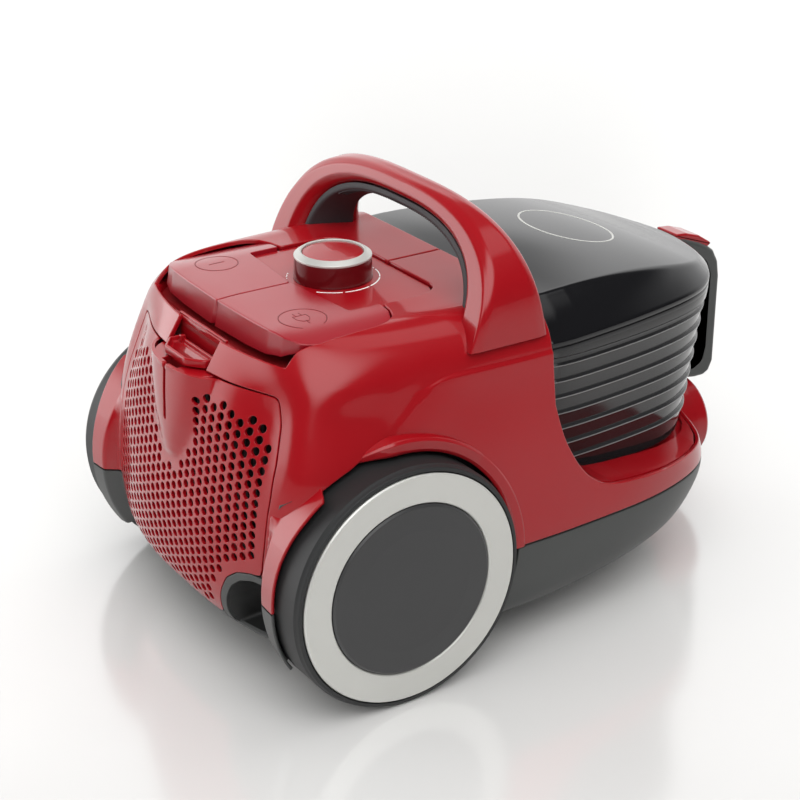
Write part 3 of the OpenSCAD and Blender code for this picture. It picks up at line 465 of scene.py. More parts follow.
def finish(name, base, rough, metal=0.0, coat=0.0, grain=0.0, grain_scale=900.0, vary=0.06,
           rough_vary=0.05, spec=0.5, coat_rough=0.04, ior=1.5):
    """A moulded finish: fine grain in the bump, slow variation in colour and roughness."""
    m = bpy.data.materials.new(name)
    m.use_nodes = True
    t = m.node_tree
    b = t.nodes["Principled BSDF"]
    set_inputs(b, {"Metallic": metal, "Coat Weight": coat, "Coat Roughness": coat_rough,
                   "Specular IOR Level": spec, "IOR": ior})
    place = t.nodes.new("ShaderNodeTexCoord")

    def noise(scale, detail):
        n = t.nodes.new("ShaderNodeTexNoise")
        set_inputs(n, {"Scale": scale, "Detail": detail})
        t.links.new(place.outputs["Object"], n.inputs["Vector"])
        return n.outputs["Fac"]
    slow = noise(14.0, 3.0)
    ramp = t.nodes.new("ShaderNodeMapRange")
    set_inputs(ramp, {"From Min": 0.3, "From Max": 0.7, "To Min": max(0.0, rough - rough_vary),
                      "To Max": rough + rough_vary})
    t.links.new(slow, ramp.inputs["Value"])
    t.links.new(ramp.outputs["Result"], b.inputs["Roughness"])
    mix = t.nodes.new("ShaderNodeMix")
    mix.data_type = "RGBA"
    set_inputs(mix, {"A": (*[c * (1 - vary) for c in base], 1),
                     "B": (*[min(1, c * (1 + vary)) for c in base], 1)})
    t.links.new(slow, mix.inputs["Factor"])
    t.links.new(mix.outputs["Result"], b.inputs["Base Color"])
    if grain:
        bump = t.nodes.new("ShaderNodeBump")
        set_inputs(bump, {"Strength": grain, "Distance": GRAIN_DEPTH})
        t.links.new(noise(grain_scale, 2.0), bump.inputs["Height"])
        t.links.new(bump.outputs["Normal"], b.inputs["Normal"])
    return m


RED = finish("red_gloss", (0.29, 0.003, 0.007), 0.34, coat=0.8, coat_rough=0.06, spec=0.15)
PEDAL_RED = finish("red_satin", (0.29, 0.004, 0.012), 0.38, coat=0.7, coat_rough=0.18)
# a darker copy of red_gloss for the knob's side: painted shade on the side
KNOB_SIDE_SHADE = finish("red_knob_side_shade", (0.10, 0.003, 0.005), 0.34, coat=0.8, coat_rough=0.06, spec=0.15)
DARK_RED = finish("red_inner", (0.20, 0.004, 0.006), 0.5, grain=0.05)
GREY = finish("dark_plastic", (0.044, 0.046, 0.045), 0.42, grain=0.25, grain_scale=1500)
BLACK = finish("black_part", (0.012, 0.012, 0.012), 0.45, grain=0.2, grain_scale=1500)
GLOSS = finish("black_gloss", (0.006, 0.006, 0.007), 0.09, rough_vary=0.02)
SMOKED = finish("smoked_clear", (0.020, 0.020, 0.021), 0.12, rough_vary=0.03)
# light grey for the bands on the cup's ledges: a painted highlight
LEDGE_HIGHLIGHT = finish("painted_ledge_highlight", (0.20, 0.20, 0.20), 0.25, rough_vary=0.03)
SILVER = finish("satin_silver", (0.60, 0.60, 0.57), 0.42, metal=0.5, grain=0.3, grain_scale=2200)
BRIGHT = finish("bright_metal", (0.55, 0.55, 0.56), 0.3, metal=1.0, grain=0.2, grain_scale=1800)
TYRE = finish("tyre_rubber", (0.014, 0.0145, 0.015), 0.55, grain=0.3, grain_scale=1300)
DISC = finish("disc_grey", (0.034, 0.034, 0.035), 0.34, grain=0.25, grain_scale=1800)
GRIP = finish("soft_grip", (0.030, 0.026, 0.029), 0.55, grain=0.3, grain_scale=1300)
# near black for the exhaust filter, seen only through the holes: painted shade inside the holes
FILTER_PAINTED_SHADE = finish("filter", (0.014, 0.012, 0.012), 0.9, grain=0.8, grain_scale=1200)
BOARD = finish("board", (0.05, 0.18, 0.09), 0.5, grain=0.3)
COPPER = finish("winding", (0.45, 0.20, 0.09), 0.4, metal=0.8, grain=0.6, grain_scale=1600)
WHITE = finish("print_white", (0.8, 0.8, 0.78), 0.5, vary=0.02)
ENGRAVE = finish("engraving", (0.16, 0.004, 0.007), 0.45)

# ---------------------------------------------------------------- body surface
COLUMNS = 400
rows = [(r[0], np.array(r[1:], float).reshape(-1, 2)) for r in BODY_ROWS]


def towards_spine(half, share, low, high):
    """The outline drawn in towards a line along the middle."""
    y = half[:, 1] + (np.clip(half[:, 1], low, high) - half[:, 1]) * share
    return np.c_[half[:, 0] * (1 - share), y]


levels = [(25.9, towards_spine(rows[0][1], s, 0, 200)) for s in (1, 0.66, 0.34, 0.12)] + rows
levels += [(z, towards_spine(rows[-1][1], s, 20, 215))
           for s, z in ((0.12, 229.2), (0.34, DECK_Z), (0.66, DECK_Z), (1, DECK_Z))]
control = np.array([np.c_[full(half), np.full(26, z)] for z, half in levels])
around = closed_spline(control.transpose(1, 0, 2), COLUMNS).transpose(1, 0, 2)
travel = chord(around)
fine = spline(travel, around, np.arange(0, travel[-1], 1.5))
for _ in range(10):
    fine = (np.roll(fine, 1, 1) + 2 * fine + np.roll(fine, -1, 1)) / 4
for _ in range(4):
    fine[1:-1] = (fine[:-2] + 2 * fine[1:-1] + fine[2:]) / 4
travel = chord(fine)
height_of = fine[:, :, 2].mean(1)
marks = np.interp(np.arange(195.5, 204, 0.7), height_of[40:-40], travel[40:-40])
steps_along = np.unique(np.concatenate([np.linspace(0, travel[-1], 150), marks]))
steps_along = steps_along[np.concatenate([[True], np.diff(steps_along) > 0.25])]
body = spline(travel, fine, steps_along)
side_rows = body[:, :COLUMNS // 2 + 1]
row_z = body[:, :, 2].mean(1)
wall_rows = np.where((row_z > 26.2) & (row_z < 229))[0]


def at_height(values, z):
    """Values given for each wall row, read at height z."""
    k = np.interp(z, row_z[wall_rows], np.arange(len(wall_rows)))
    low = np.clip(np.floor(k).astype(int), 0, len(wall_rows) - 2)
    i = np.arange(values.shape[1])
    return values[low, i] * (1 - (k - low)) + values[low + 1, i] * (k - low)


def side_x(y, z):
    """Half width of the body at y and z."""
    return at_height(np.array([np.interp(y, side_rows[k, :, 1], side_rows[k, :, 0])
                               for k in wall_rows]), z)


def rear_y(x, z):
    """How far back the body reaches at x and z."""
    q = COLUMNS // 4
    return at_height(np.array([np.interp(np.abs(x), side_rows[k, :q, 0], side_rows[k, :q, 1])
                               for k in wall_rows]), z)


def body_row(z):
    """The body's outline at about height z."""
    return body[int(np.argmin(np.abs(row_z - z)))]


# A soft crease on the flank: it runs back from the handle foot and fades over the wheel.
crease_z = 199 - 34 * np.clip((47 - body[:, :, 1]) / 52, 0, 1) ** 2
above = body[:, :, 2] - crease_z
depth = 0.9 * smooth(-0.5, 1.6, above) * (1 - smooth(4, 22, above)) * smooth(-10, 50, body[:, :, 1])
depth *= np.abs(body[:, :, 0]) > 60
body[:, :, 0] -= np.sign(body[:, :, 0]) * depth
hull = Sheet.grid(body, closed=True).weld()

rim = np.array(RIM_LINE)
rim_y = np.linspace(119, 330, 260)
rim_fine = spline(rim[:, 0], rim[:, 1:], rim_y)[:, 0]
bay = sdf(np.concatenate([[(119, 300)], np.c_[rim_y, rim_fine], [(400, 84), (400, 300)]]))
cover_shape = sdf(rounded(COVER_LINE, 5)[0])
outlet_shape = sdf(rounded(OUTLET_LINE, 4)[0])
pedal_radii = [1, 3, 3, 3, 3, 3, 3, 3, 3, 3, 3, 2.5, 2, 1]
pedal_shape = {1: sdf(rounded(PEDAL_LINE, pedal_radii)[0]),
               -1: sdf(rounded(mirrored(PEDAL_LINE), pedal_radii[::-1])[0])}
tongue_shape = sdf(rounded(TONGUE_LINE, 3)[0])
pedals_line = [(0, -52)] + PEDAL_LINE[1:11]
pedals_shape = sdf(rounded(pedals_line + mirrored(pedals_line[1:]), 3)[0])


def deck_field(p):
    """Negative inside the recess that holds the pedals and the control panel."""
    q = p[:, :2]
    gap = np.maximum.reduce([pedal_shape[1](q), pedal_shape[-1](q), tongue_shape(q)]) + 0.9
    behind = np.minimum(-36 - p[:, 1], 84 - np.abs(p[:, 0]))
    gap = np.maximum(gap, np.minimum(behind, p[:, 2] - DECK_FLOOR))
    return np.where(p[:, 2] > 205, -gap, FAR)


def off_wheel(p, reach):
    return np.maximum(np.hypot(p[:, 1], p[:, 2] - AXLE_Z) - reach, WELL_X - np.abs(p[:, 0]))


def wheel_field(reach):
    return lambda p: off_wheel(p, reach)


def arch_field(p):
    """Clears the lip over a wheel, and closes on the fender behind it."""
    turn = np.degrees(np.arctan2(p[:, 2] - AXLE_Z, p[:, 1]))
    reach = 90.5 - 6.4 * smooth(90, 112, np.where(turn < -90, 180, turn))
    return off_wheel(p, reach)


def rear_field(shape, margin):
    return lambda p: np.where(p[:, 1] < -42, -shape(p[:, [0, 2]]) - margin, FAR)


def hose_field(reach):
    return lambda p: np.where(p[:, 1] > 250, np.hypot(p[:, 0], p[:, 2] - HOSE_Z) - reach, FAR)


def caster_field(p):
    return np.where(p[:, 2] < 36, np.hypot(p[:, 0], p[:, 1] - CASTER_Y) - 35, FAR)


def latch_field(p):
    d = np.maximum(np.abs(p[:, 0]) - 26.6, np.abs(p[:, 2] - 202) - 12.9)
    return np.where(p[:, 1] < -42, d, FAR)


cover_cut = rear_field(cover_shape, 0.5 + ROLL)
outlet_cut = rear_field(outlet_shape, 0.4 + ROLL)
hose_cut = hose_field(32.4 + ROLL)
upper = hull.clip(lambda p: p[:, 2] - SEAM_Z - 0.5 - ROLL, arch_field, lambda p: -bay(p[:, 1:]) - ROLL,
                  cover_cut, outlet_cut, lambda p: deck_field(p) - 0.6, latch_field, hose_cut)
make("housing_skin", upper.shell(SKIN, ROLL), RED, "housing", ["main_shell"])
lower = hull.clip(lambda p: SEAM_Z - 0.6 - ROLL - p[:, 2], wheel_field(WELL_R + ROLL), cover_cut,
                  outlet_cut, hose_cut, caster_field)
make("chassis_skin", lower.shell(SKIN, ROLL), GREY, "housing", ["base_chassis"])

# dark inner joint line behind the seam
seam_line = body_row(SEAM_Z)[:, :2]
groove = [level_ring(seam_line, outward(seam_line), -d, z) for d, z in
          ((3.6, 72), (1.7, 72.4), (1.7, 84), (3.6, 84.4))]
groove = Sheet.grid(np.array(groove), closed=True).clip(
    wheel_field(WELL_R + 1), rear_field(cover_shape, 1), rear_field(outlet_shape, 1), hose_field(33))
make("seam_liner", groove, BLACK, "housing")

# ---------------------------------------------------------------- wheel arches
FENDER = np.array([(112, 131), (118, 131), (128, 130.4), (138, 128.6), (148, 126), (158, 124), (168, 123),
                   (178, 122.5), (188, 122), (198, 121), (207, 119), (216, 116)])
LIP_R = 82.7
SEAM_TURN = 180.0 + math.degrees(math.asin((AXLE_Z - SEAM_Z) / 84))


def shell_reach(turn, at_x):
    """Distance from the axle to the body surface at |x| = at_x, along a direction round the axle."""
    r = np.linspace(55, 100, 120)
    c, s = math.cos(turn), math.sin(turn)
    inside = side_x(r * c, np.clip(AXLE_Z + r * s, 26.5, 228)) > at_x
    return r[inside][-1] if inside.any() else 70.0


def round_axle(x, rho, turn):
    """Points at distance rho from the axle, in the direction turn."""
    c, s = math.cos(turn), math.sin(turn)
    return np.c_[x, rho * c, AXLE_Z + rho * s]


def fender(first, last, count):
    """Sections of the flare behind a wheel between two turns round the axle, in degrees."""
    out = []
    for deg in np.linspace(first, last, count):
        turn = math.radians(deg)
        c, s = math.cos(turn), math.sin(turn)
        crest = np.interp(deg, FENDER[:, 0], FENDER[:, 1])
        edge = 83.8 + 2.2 * max(0.0, s)
        skin = float(side_x(np.array([edge * c]), np.array([AXLE_Z + edge * s]))[0])
        crest = min(crest, skin - 0.8 + 140 * float(smooth(122, 150, deg)))
        root = min(shell_reach(turn, 96) - 0.5, edge + 1)
        line = rounded([(94, root - 4), (94, root - 0.6), (100.6, root - 0.4), (107, edge - 1.2),
                        (crest, edge), (crest - 0.2, edge - 2.2), (108.2, edge - 2.6),
                        (103.4, root - 6)], [0.5, 0.5, 5, 6, 1.1, 1.1, 2, 1], 5)[0]
        out.append(round_axle(line[:, 0], line[:, 1], turn))
    return np.array(out)


for side, tag in ((1, "right"), (-1, "left")):
    loops = []
    for a in np.radians(np.linspace(-1.2, 114, 90)):
        y, z = round_axle(0, 93.0, a)[:, 1:].T
        fade = float(smooth(113, 90, math.degrees(a)))
        at_skin = float(side_x(y, z)[0])
        crest = max(130.8 * fade + (at_skin - 2.2) * (1 - fade), at_skin + 0.9 - 3.1 * (1 - fade))
        line, _ = rounded([(108, 87.4), (crest - 5, 83.2), (crest - 1, LIP_R), (crest, 84.8), (crest, 90.2),
                           (crest - 1.4, 92.0), (crest - 12, 92.6), (100, 92.4)],
                          [0.5, 1.4, 1, 1.4, 1.2, 1.6, 3, 0.5], 4)
        line[:, 1] = LIP_R + (line[:, 1] - LIP_R) * (0.2 + 0.8 * fade)
        loops.append(round_axle(line[:, 0] * side, line[:, 1], a))
    flip = np.array([side, 1, 1])
    lip = merge([loft(np.array(loops)), loft(fender(114, SEAM_TURN - 0.5, 50) * flip)])
    make("arch_lip_" + tag, lip, RED, "housing")
    make("fender_foot_" + tag, loft(fender(SEAM_TURN + 0.5, 215, 26) * flip), GREY, "housing")
    # inner wheel well
    loops = []
    for a in np.linspace(0, 2 * math.pi, 97)[:-1]:
        y, z = round_axle(0, WELL_R, a)[:, 1:].T
        reach = float(side_x(y, z)[0]) - 1.4 if z[0] > 27 else 103.0
        rho = min(WELL_R, shell_reach(a, 103) - 1.6)
        reach = max(102.6, min(reach, 129.0)) if rho > 86 else 102.6
        section = np.array([(102, 8), (102, rho - 1), (102.4, rho), (reach, rho), (reach, rho + 1.4),
                            (101, rho + 1.4), (100, 8)])
        loops.append(round_axle(section[:, 0] * side, section[:, 1], a))
    q = np.array(loops)
    q[:, :, 2] = np.maximum(q[:, :, 2], 27)
    well = Sheet.grid(np.concatenate([q, q[:1]]).transpose(1, 0, 2)).weld()
    make("wheel_well_" + tag, well, BLACK, "housing")

# ---------------------------------------------------------------- rear cover
# height, half width and reach of the parking pocket
POCKET = np.array([(126, 5, 82), (134, 11, 85.4), (145, 19, 86.4), (160, 27, 86.8), (178, 31, 86.2),
                   (196, 33, 85)], float)
# exhaust holes: radius, column spacing, row spacing, height of the first row
HOLE_R, PITCH, RISE, LATTICE_Z = 3.0, 7.2, 6.7, 46
SLOT_HALF = 1.9  # half width of the slot down the pocket


def cover_y(x, z):
    base = rear_y(x, z)
    r = np.interp(z, POCKET[:, 0], POCKET[:, 1], left=0.01)
    out = np.interp(z, POCKET[:, 0], POCKET[:, 2], left=70)
    share = np.abs(x) / (r + 6)
    bulge = -68 - (out - 68) * np.sqrt(np.clip(1 - share ** 2, 0, 1)) * smooth(112, 140, z)
    bulge += 40 * np.clip(share - 1, 0, None) + 30 * smooth(132, 112, z)
    k = 3.0
    h = np.clip(0.5 + 0.5 * (bulge - base) / k, 0, 1)
    return bulge * (1 - h) + base * h - k * h * (1 - h)


def cell_centre(i, j):
    """Centre of the lattice cell in column i, row j."""
    return i * PITCH, LATTICE_Z + j * RISE + (i % 2) * RISE / 2


def holed(x, z):
    """Whether the lattice cell at x and z has an exhaust hole."""
    if cover_shape(np.array([[x, z]]))[0] < 6.4 or outlet_shape(np.array([[x, z]]))[0] > -6:
        return False
    if z > 186 - 4 * smooth(30, 85, abs(x)):
        return False
    return not (z > 128 and abs(x) < np.interp(z, (128, 150, 170), (8, 22, 27)))


pts, keys, cell_faces = [], {}, []


def corner(x, z):
    key = (round(x, 3), round(z, 3))
    if key not in keys:
        keys[key] = len(pts)
        pts.append(key)
    return keys[key]


for i in range(-14, 15):
    for j in range(-2, 25):
        cx, cz = cell_centre(i, j)
        outer = [corner(cx + a * PITCH / 2, cz + b * RISE / 2) for a, b in
                 ((1, 0), (1, 1), (0, 1), (-1, 1), (-1, 0), (-1, -1), (0, -1), (1, -1))]
        if holed(cx, cz):
            inner = []
            for k in range(16):
                a = k * math.pi / 8
                inner.append(corner(cx + HOLE_R * math.cos(a), cz + HOLE_R * math.sin(a)))
            for k in range(8):
                cell_faces.append((outer[k], outer[(k + 1) % 8], inner[(2 * k + 2) % 16],
                                   inner[2 * k + 1], inner[2 * k]))
        else:
            mid = corner(cx, cz)
            for k in (0, 2, 4, 6):
                cell_faces.append((mid, outer[k], outer[k + 1], outer[(k + 2) % 8]))
flat = np.array(pts, float)
x, z = flat[:, 0], flat[:, 1]
y = cover_y(x, z)
e = 0.6
slope_x = (cover_y(x + e, z) - cover_y(x - e, z)) / (2 * e)
slope_z = (cover_y(x, z + e) - cover_y(x, z - e)) / (2 * e)
grille = Sheet(np.c_[x, y, z], np.c_[slope_x, -np.ones(len(x)), slope_z],
               [tuple(f) for f in cell_faces])
grille = grille.clip(
    lambda p: cover_shape(p[:, [0, 2]]) - 0.5, lambda p: 195.6 - p[:, 2],
    lambda p: np.where(p[:, 2] > 154, np.maximum(
        np.abs(p[:, 0]) - SLOT_HALF, 158 - p[:, 2] - 0.25 * p[:, 0] ** 2), 9))
make("exhaust_cover", grille.shell(2.4, 0.4, steps=2), RED, "cover", ["rear_cover"])

# top of the parking pocket, with the mouth of its channel
half_arc = [(33 * math.sin(a), -66 - 19.6 * math.cos(a)) for a in np.radians(np.linspace(-90, 90, 25))]
cap_line = rounded(half_arc + [(40, -62), (-40, -62)], 1.0, 2)[0]
cap_shape = sdf(cap_line)
mouth_shape = sdf(rounded([(-9.4, -82.6), (9.4, -82.6), (9.4, -75), (-9.4, -75)], 1.2)[0])
slot_shape = sdf([(-SLOT_HALF, -95), (SLOT_HALF, -95), (SLOT_HALF, -80), (-SLOT_HALF, -80)])


def table(x0, x1, y0, y1, step, height):
    """A level sheet facing up, with height a function of x and y."""
    xs = np.arange(x0, x1 + step / 2, step)
    ys = np.arange(y0, y1 + step / 2, step)
    gx, gy = np.meshgrid(xs, ys)
    return Sheet.grid(np.stack([gx, gy, height(gx, gy)], -1))


def level(z):
    """A height that is the same everywhere."""
    return lambda a, b: np.full(np.shape(a), z)


cap = table(-44, 44, -90, -60, 1.6, level(195.3))
cap = cap.clip(within(cap_shape, 0.5), beyond(mouth_shape, 0.6), beyond(slot_shape, 0.3))
make("pocket_top", cap.shell(2.4, 0.5), RED, "cover")
wall_line, wall_n = rounded([(-9.6, -83.4), (9.6, -83.4), (9.6, -74.8), (-9.6, -74.8)], 1.2, 3)
channel = [level_ring(wall_line, wall_n, d, h) for d, h in ((0, 194.6), (-0.6, 156), (-6, 155.6))]
channel_wall = Sheet.grid(np.array(channel), closed=True).flipped()
channel_wall = channel_wall.clip(lambda p: np.maximum(np.abs(p[:, 0]) - SLOT_HALF, p[:, 1] + 83))
make("pocket_channel", channel_wall, DARK_RED, "cover")

# ---------------------------------------------------------------- cover latch
wall_line, wall_n = rounded([(-30, 190), (30, 190), (30, 214.4), (-30, 214.4)], 0.6, 3)


def facing_back(base):
    """Maps a plate drawn in x and z with thickness h to one that faces the rear."""
    return lambda q: np.c_[q[:, 0], base - q[:, 2], q[:, 1]]


make("latch_wall", pad(wall_line, wall_n, 0, 1.6, 0.5, put=facing_back(-56.2)), RED, "housing")
tray, tray_n = rounded([(-23.6, -61.2), (-23.6, -69.6), (-13, -77.8), (13, -77.8), (23.6, -69.6),
                        (23.6, -61.2)], (1, 4, 5, 5, 4, 1), 5)
bowl = [(0, 197), (0, 200.8), (0.3, 201.5), (0.9, 201.8), (1.7, 201.8), (2.2, 201.4), (2.5, 199.6),
        (3.0, 199.1), (4.2, 198.9)]
tray_solid = loft([level_ring(tray, tray_n, -d, h) for d, h in bowl])
peg_line, peg_n = rounded([(-18.6, -65), (-15.6, -65), (-15.6, -61.4), (-18.6, -61.4)], 0.6, 3)
peg = pad(peg_line, peg_n, 198.5, 204, 0.8)
make("latch_tab", merge([tray_solid, peg]), RED, "latch", ["cover_latch"])

# ---------------------------------------------------------------- cord outlet
frame_sheet = hull.clip(lambda p: np.where(p[:, 1] < -40, outlet_shape(p[:, [0, 2]]) - 0.9, -9))
inner_line = rounded([(57, 38), (58.6, 50), (62, 61), (68, 71.6), (76.4, 78.6), (87, 82.2), (99, 83),
                      (97.6, 38)], 4)[0]
inner_shape = sdf(inner_line)
rim_sheet = frame_sheet.clip(lambda p: -inner_shape(p[:, [0, 2]]) - 0.5).clip(lambda p: p[:, 2] - 40.5)
make("outlet_trim", rim_sheet.shell(3, 0.5), GREY, "housing", ["cord_outlet"])
closed = closed_spline(np.asarray(inner_line)[::2], 90)
middle_in = np.array([80.0, 60.0])
walls = []
for k, (shrink, back) in enumerate(((1.03, 0), (0.99, 5), (0.93, 14), (0.8, 24), (0.5, 29), (0.01, 30))):
    q = middle_in + (closed - middle_in) * shrink
    walls.append(np.c_[q[:, 0], rear_y(q[:, 0], np.clip(q[:, 1], 30, 200)) + 1.2 + back * 0.9,
                       np.maximum(q[:, 1], 33)])
walls = Sheet.grid(np.array(walls), closed=True)
if np.sum((walls.v - (80, -50, 60)) * walls.n) > 0:
    walls = walls.flipped()
make("outlet_recess", walls, BLACK, "housing")

# ---------------------------------------------------------------- deck: tongue, pedals, knob
TONGUE_Z = 227.2
panel_height = level(TONGUE_Z)
tongue = table(-64, 64, 4, 80, 2, panel_height).clip(within(tongue_shape, 0.8))
make("control_panel", tongue.shell(2.4, 0.8), RED, "housing", ["control_tongue"])


def pedal_height(a, b):
    side_drop = 5.2 * np.clip((np.abs(a) - 58) / 30, 0, 1) ** 2
    return 229.7 - side_drop - 1.2 * np.clip((-30 - b) / 22, 0, 1) ** 2


for sign, tag, body_name, node in ((-1, "left", "pedal_power", "power_pedal"),
                                   (1, "right", "pedal_rewind", "rewind_pedal")):
    def edge(p):
        """1 on the rear edge of the pair, 0 on the edges beside the panel and the other pedal."""
        return smooth(-32, -48, p[:, 1]) * (pedals_shape(p[:, :2]) < 7)

    def lean(p, o):
        return 5.0 * edge(p) * np.where(np.abs(p[:, 0]) < 2.5, smooth(0.75, 0.97, -o[:, 1]), 1)
    top = table(-92, 92, -56, 38, 1.6, pedal_height).clip(
        lambda p: pedals_shape(p[:, :2]) - 0.6 - 5.6 * smooth(-32, -48, p[:, 1]),
        within(pedal_shape[sign], 0.6))
    made = top.shell(2.4, lambda p: 0.6 + 0.5 * edge(p), lambda p: 3.4 + 12.2 * edge(p), lean)
    make("pedal_" + tag, made, PEDAL_RED, body_name, [node])


deck_edge = sdf(body_row(213)[::2, :2])
ledge = table(-112, 112, -64, 84, 2, lambda a, b: 212.8 - 7.4 * smooth(
    -3.8, -1.2, pedals_shape(np.c_[a.ravel(), b.ravel()]).reshape(a.shape)))
ledge = ledge.clip(within(deck_edge, 1.2),
                   lambda p: np.maximum(np.abs(p[:, 0]) - 26.2, p[:, 1] + 57.9))
make("deck_ledge", ledge.shell(1.6, 0.4), RED, "housing")


def ribbon(points, width, closed, height, lift=0.12):
    """A thin raised line on a level surface."""
    p = np.asarray(points, float)
    d = np.roll(p, -1, 0) - np.roll(p, 1, 0) if closed else np.gradient(p, axis=0)
    side = unit(np.c_[d[:, 1], -d[:, 0]]) * width / 2
    z = height(p[:, 0], p[:, 1])
    rows = [np.c_[p + side * s, z + h] for s, h in ((1, -0.2), (0.9, lift), (-0.9, lift), (-1, -0.2))]
    q = np.array(rows).transpose(1, 0, 2)
    if closed:
        q = np.concatenate([q, q[:1]])
    s = Sheet.grid(q)
    if s.n[:, 2].sum() < 0:
        s = s.flipped()
    return s


def oval(cx, cy, rx, ry, a0, a1, count=48):
    a = np.radians(np.linspace(a0, a1, count))
    return np.c_[cx + rx * np.cos(a), cy + ry * np.sin(a)]


def stroke(*points):
    p = np.array(points, float)
    return np.concatenate([np.linspace(a, b, 6)[:-1] for a, b in zip(p, p[1:])] + [p[-1:]])


def symbol(name, body_name, drawing):
    """A symbol engraved in a pedal: lines, each with its width and whether it is closed."""
    make(name, merge([ribbon(line, width, closed, pedal_height) for line, width, closed in drawing]),
         ENGRAVE, body_name)


px, py = -56.0, -17.0
symbol("power_symbol", "pedal_power", [
    (oval(px, py, 13.8, 13.8, 0, 352), 0.8, True), (stroke((px, py - 5.5), (px, py + 5.5)), 0.8, False)])
px, py = 56.0, -19.5
symbol("plug_symbol", "pedal_rewind", [
    (oval(px, py, 14.6, 14.6, 30, 330), 0.8, False),
    (stroke((px - 4, py - 4.5), (px + 1, py - 4.5), (px + 5, py - 2), (px + 5, py + 2),
            (px + 1, py + 4.5), (px - 4, py + 4.5), (px - 4, py - 4.5)), 0.6, False),
    (stroke((px - 8.4, py - 2), (px - 4, py - 2)), 0.6, False),
    (stroke((px - 8.4, py + 2), (px - 4, py + 2)), 0.6, False),
    (stroke((px + 5, py), (px + 9, py)), 0.6, False)])
scale = [ribbon(oval(0, KNOB_Y, 29.6, 29.6, a, b, 14), w, False, panel_height, 0.1)
         for a, b, w in ((-52, -20, 1.1), (-17, 18, 1.0), (21, 52, 0.9), (55, 82, 0.8), (86, 110, 0.6),
                         (-134, -131, 0.9), (-128, -125, 0.9), (-122, -120, 0.8), (-116, -114, 0.7))]
make("speed_scale", merge(scale), WHITE, "housing")

KNOB_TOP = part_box("knob_ring")[1].z * 1000
# the knob's side takes the darker copy of the red gloss, painted shade; its face keeps the red gloss
for name, outline, radii, material, node, slot in (
        ("knob_side", [(4, TONGUE_Z), (25.4, TONGUE_Z), (24.7, KNOB_TOP - 3.9), (19.2, KNOB_TOP - 3.9),
                       (19.2, 232), (4, 232)], [0.3, 0.5, 0.3, 0.3, 0.3, 0.3],
         KNOB_SIDE_SHADE, "knob_skirt", "red_gloss"),
        ("knob_bevel", [(19.6, KNOB_TOP - 3.8), (24.9, KNOB_TOP - 3.8), (24.9, KNOB_TOP - 2.4),
                        (21.2, KNOB_TOP), (19.9, KNOB_TOP - 0.3)], [0.2, 0.5, 0.9, 0.5, 0.3],
         SILVER, "knob_ring", "satin_silver"),
        ("knob_face", [(0, 232), (18.9, 232), (19.5, KNOB_TOP - 1.1), (16, KNOB_TOP - 0.7),
                       (0, KNOB_TOP - 0.3)], [0, 0.3, 0.7, 6, 0], RED, "knob_cap", "red_gloss")):
    made = lathe(outline, radii, "z", (0, KNOB_Y, 0), steps=160)
    make(name, made, material, "knob", [node])

# ---------------------------------------------------------------- carry handle


def arch(t, a, b, n, y0, k):
    """A point of a leaning superellipse arch."""
    c, s = math.cos(t), math.sin(t)
    up = b * abs(s) ** (2 / n)
    return np.array([math.copysign(abs(c) ** (2 / n), c) * a, y0 + k * up, FOOT_Z + up])


def ring3(corners, radii, seg=4):
    """A closed ring through 3-D corners with rounded turns."""
    p, out = np.array(corners), []
    for i in range(len(p)):
        a, b, c = p[i - 1], p[i], p[(i + 1) % len(p)]
        ca = min(radii[i], 0.45 * np.linalg.norm(a - b))
        cc = min(radii[i], 0.45 * np.linalg.norm(c - b))
        for k in range(seg + 1):
            t = k / seg
            out.append((1 - t) ** 2 * (b + unit(a - b) * ca) + 2 * t * (1 - t) * b
                       + t * t * (b + unit(c - b) * cc))
        q0, q1 = b + unit(c - b) * cc, c + unit(b - c) * min(radii[(i + 1) % len(p)],
                                                            0.45 * np.linalg.norm(c - b))
        for k in (1, 2, 3):
            out.append(q0 + (q1 - q0) * k / 4)
    return out


def arch_turns(count):
    """Angles that give even steps along the arch."""
    t = np.linspace(0, math.pi, 2000)
    p = np.array([arch(a, 121, 72, 2.7, 60, 0.3) for a in t])
    return np.interp(np.linspace(0, chord(p)[-1], count), chord(p), t)


turns = arch_turns(150)
SHELL_SECTION = [(121, 72, 2.6, 57.5, 0.39), (122, 74, 2.9, 64, 0.34), (122.5, 74.5, 3.0, 108, -0.16),
                 (121, 73.5, 2.9, 115.5, -0.2), (86, 61.5, 2.4, 114.5, -0.26), (82, 59.5, 2.3, 108, -0.22),
                 (99, 62, 2.75, 64, 0.34), (103.5, 66, 2.85, 58.5, 0.37)]
GRIP_SECTION = [(96, 60.5, 2.75, 66.4, 0.33), (91, 60, 2.4, 104.6, -0.2), (80, 55, 2.3, 104.6, -0.2),
                (92, 56.5, 2.7, 66.4, 0.33)]
SHELL_RADII = (1.6, 2.6, 2.4, 2.2, 2.4, 2, 2.5, 1.4)
GRIP_RADII = (0.8, 1, 2, 2)
for name, section, radii, material, node, slot in (
        ("carry_handle", SHELL_SECTION, SHELL_RADII, RED, "handle_shell", "red_gloss"),
        ("grip_lining", GRIP_SECTION, GRIP_RADII, GRIP, "handle_grip", "soft_grip")):
    rings = [ring3([arch(t, *k) for k in section], radii) for t in turns]
    make(name, loft(rings), material, "housing", [node])

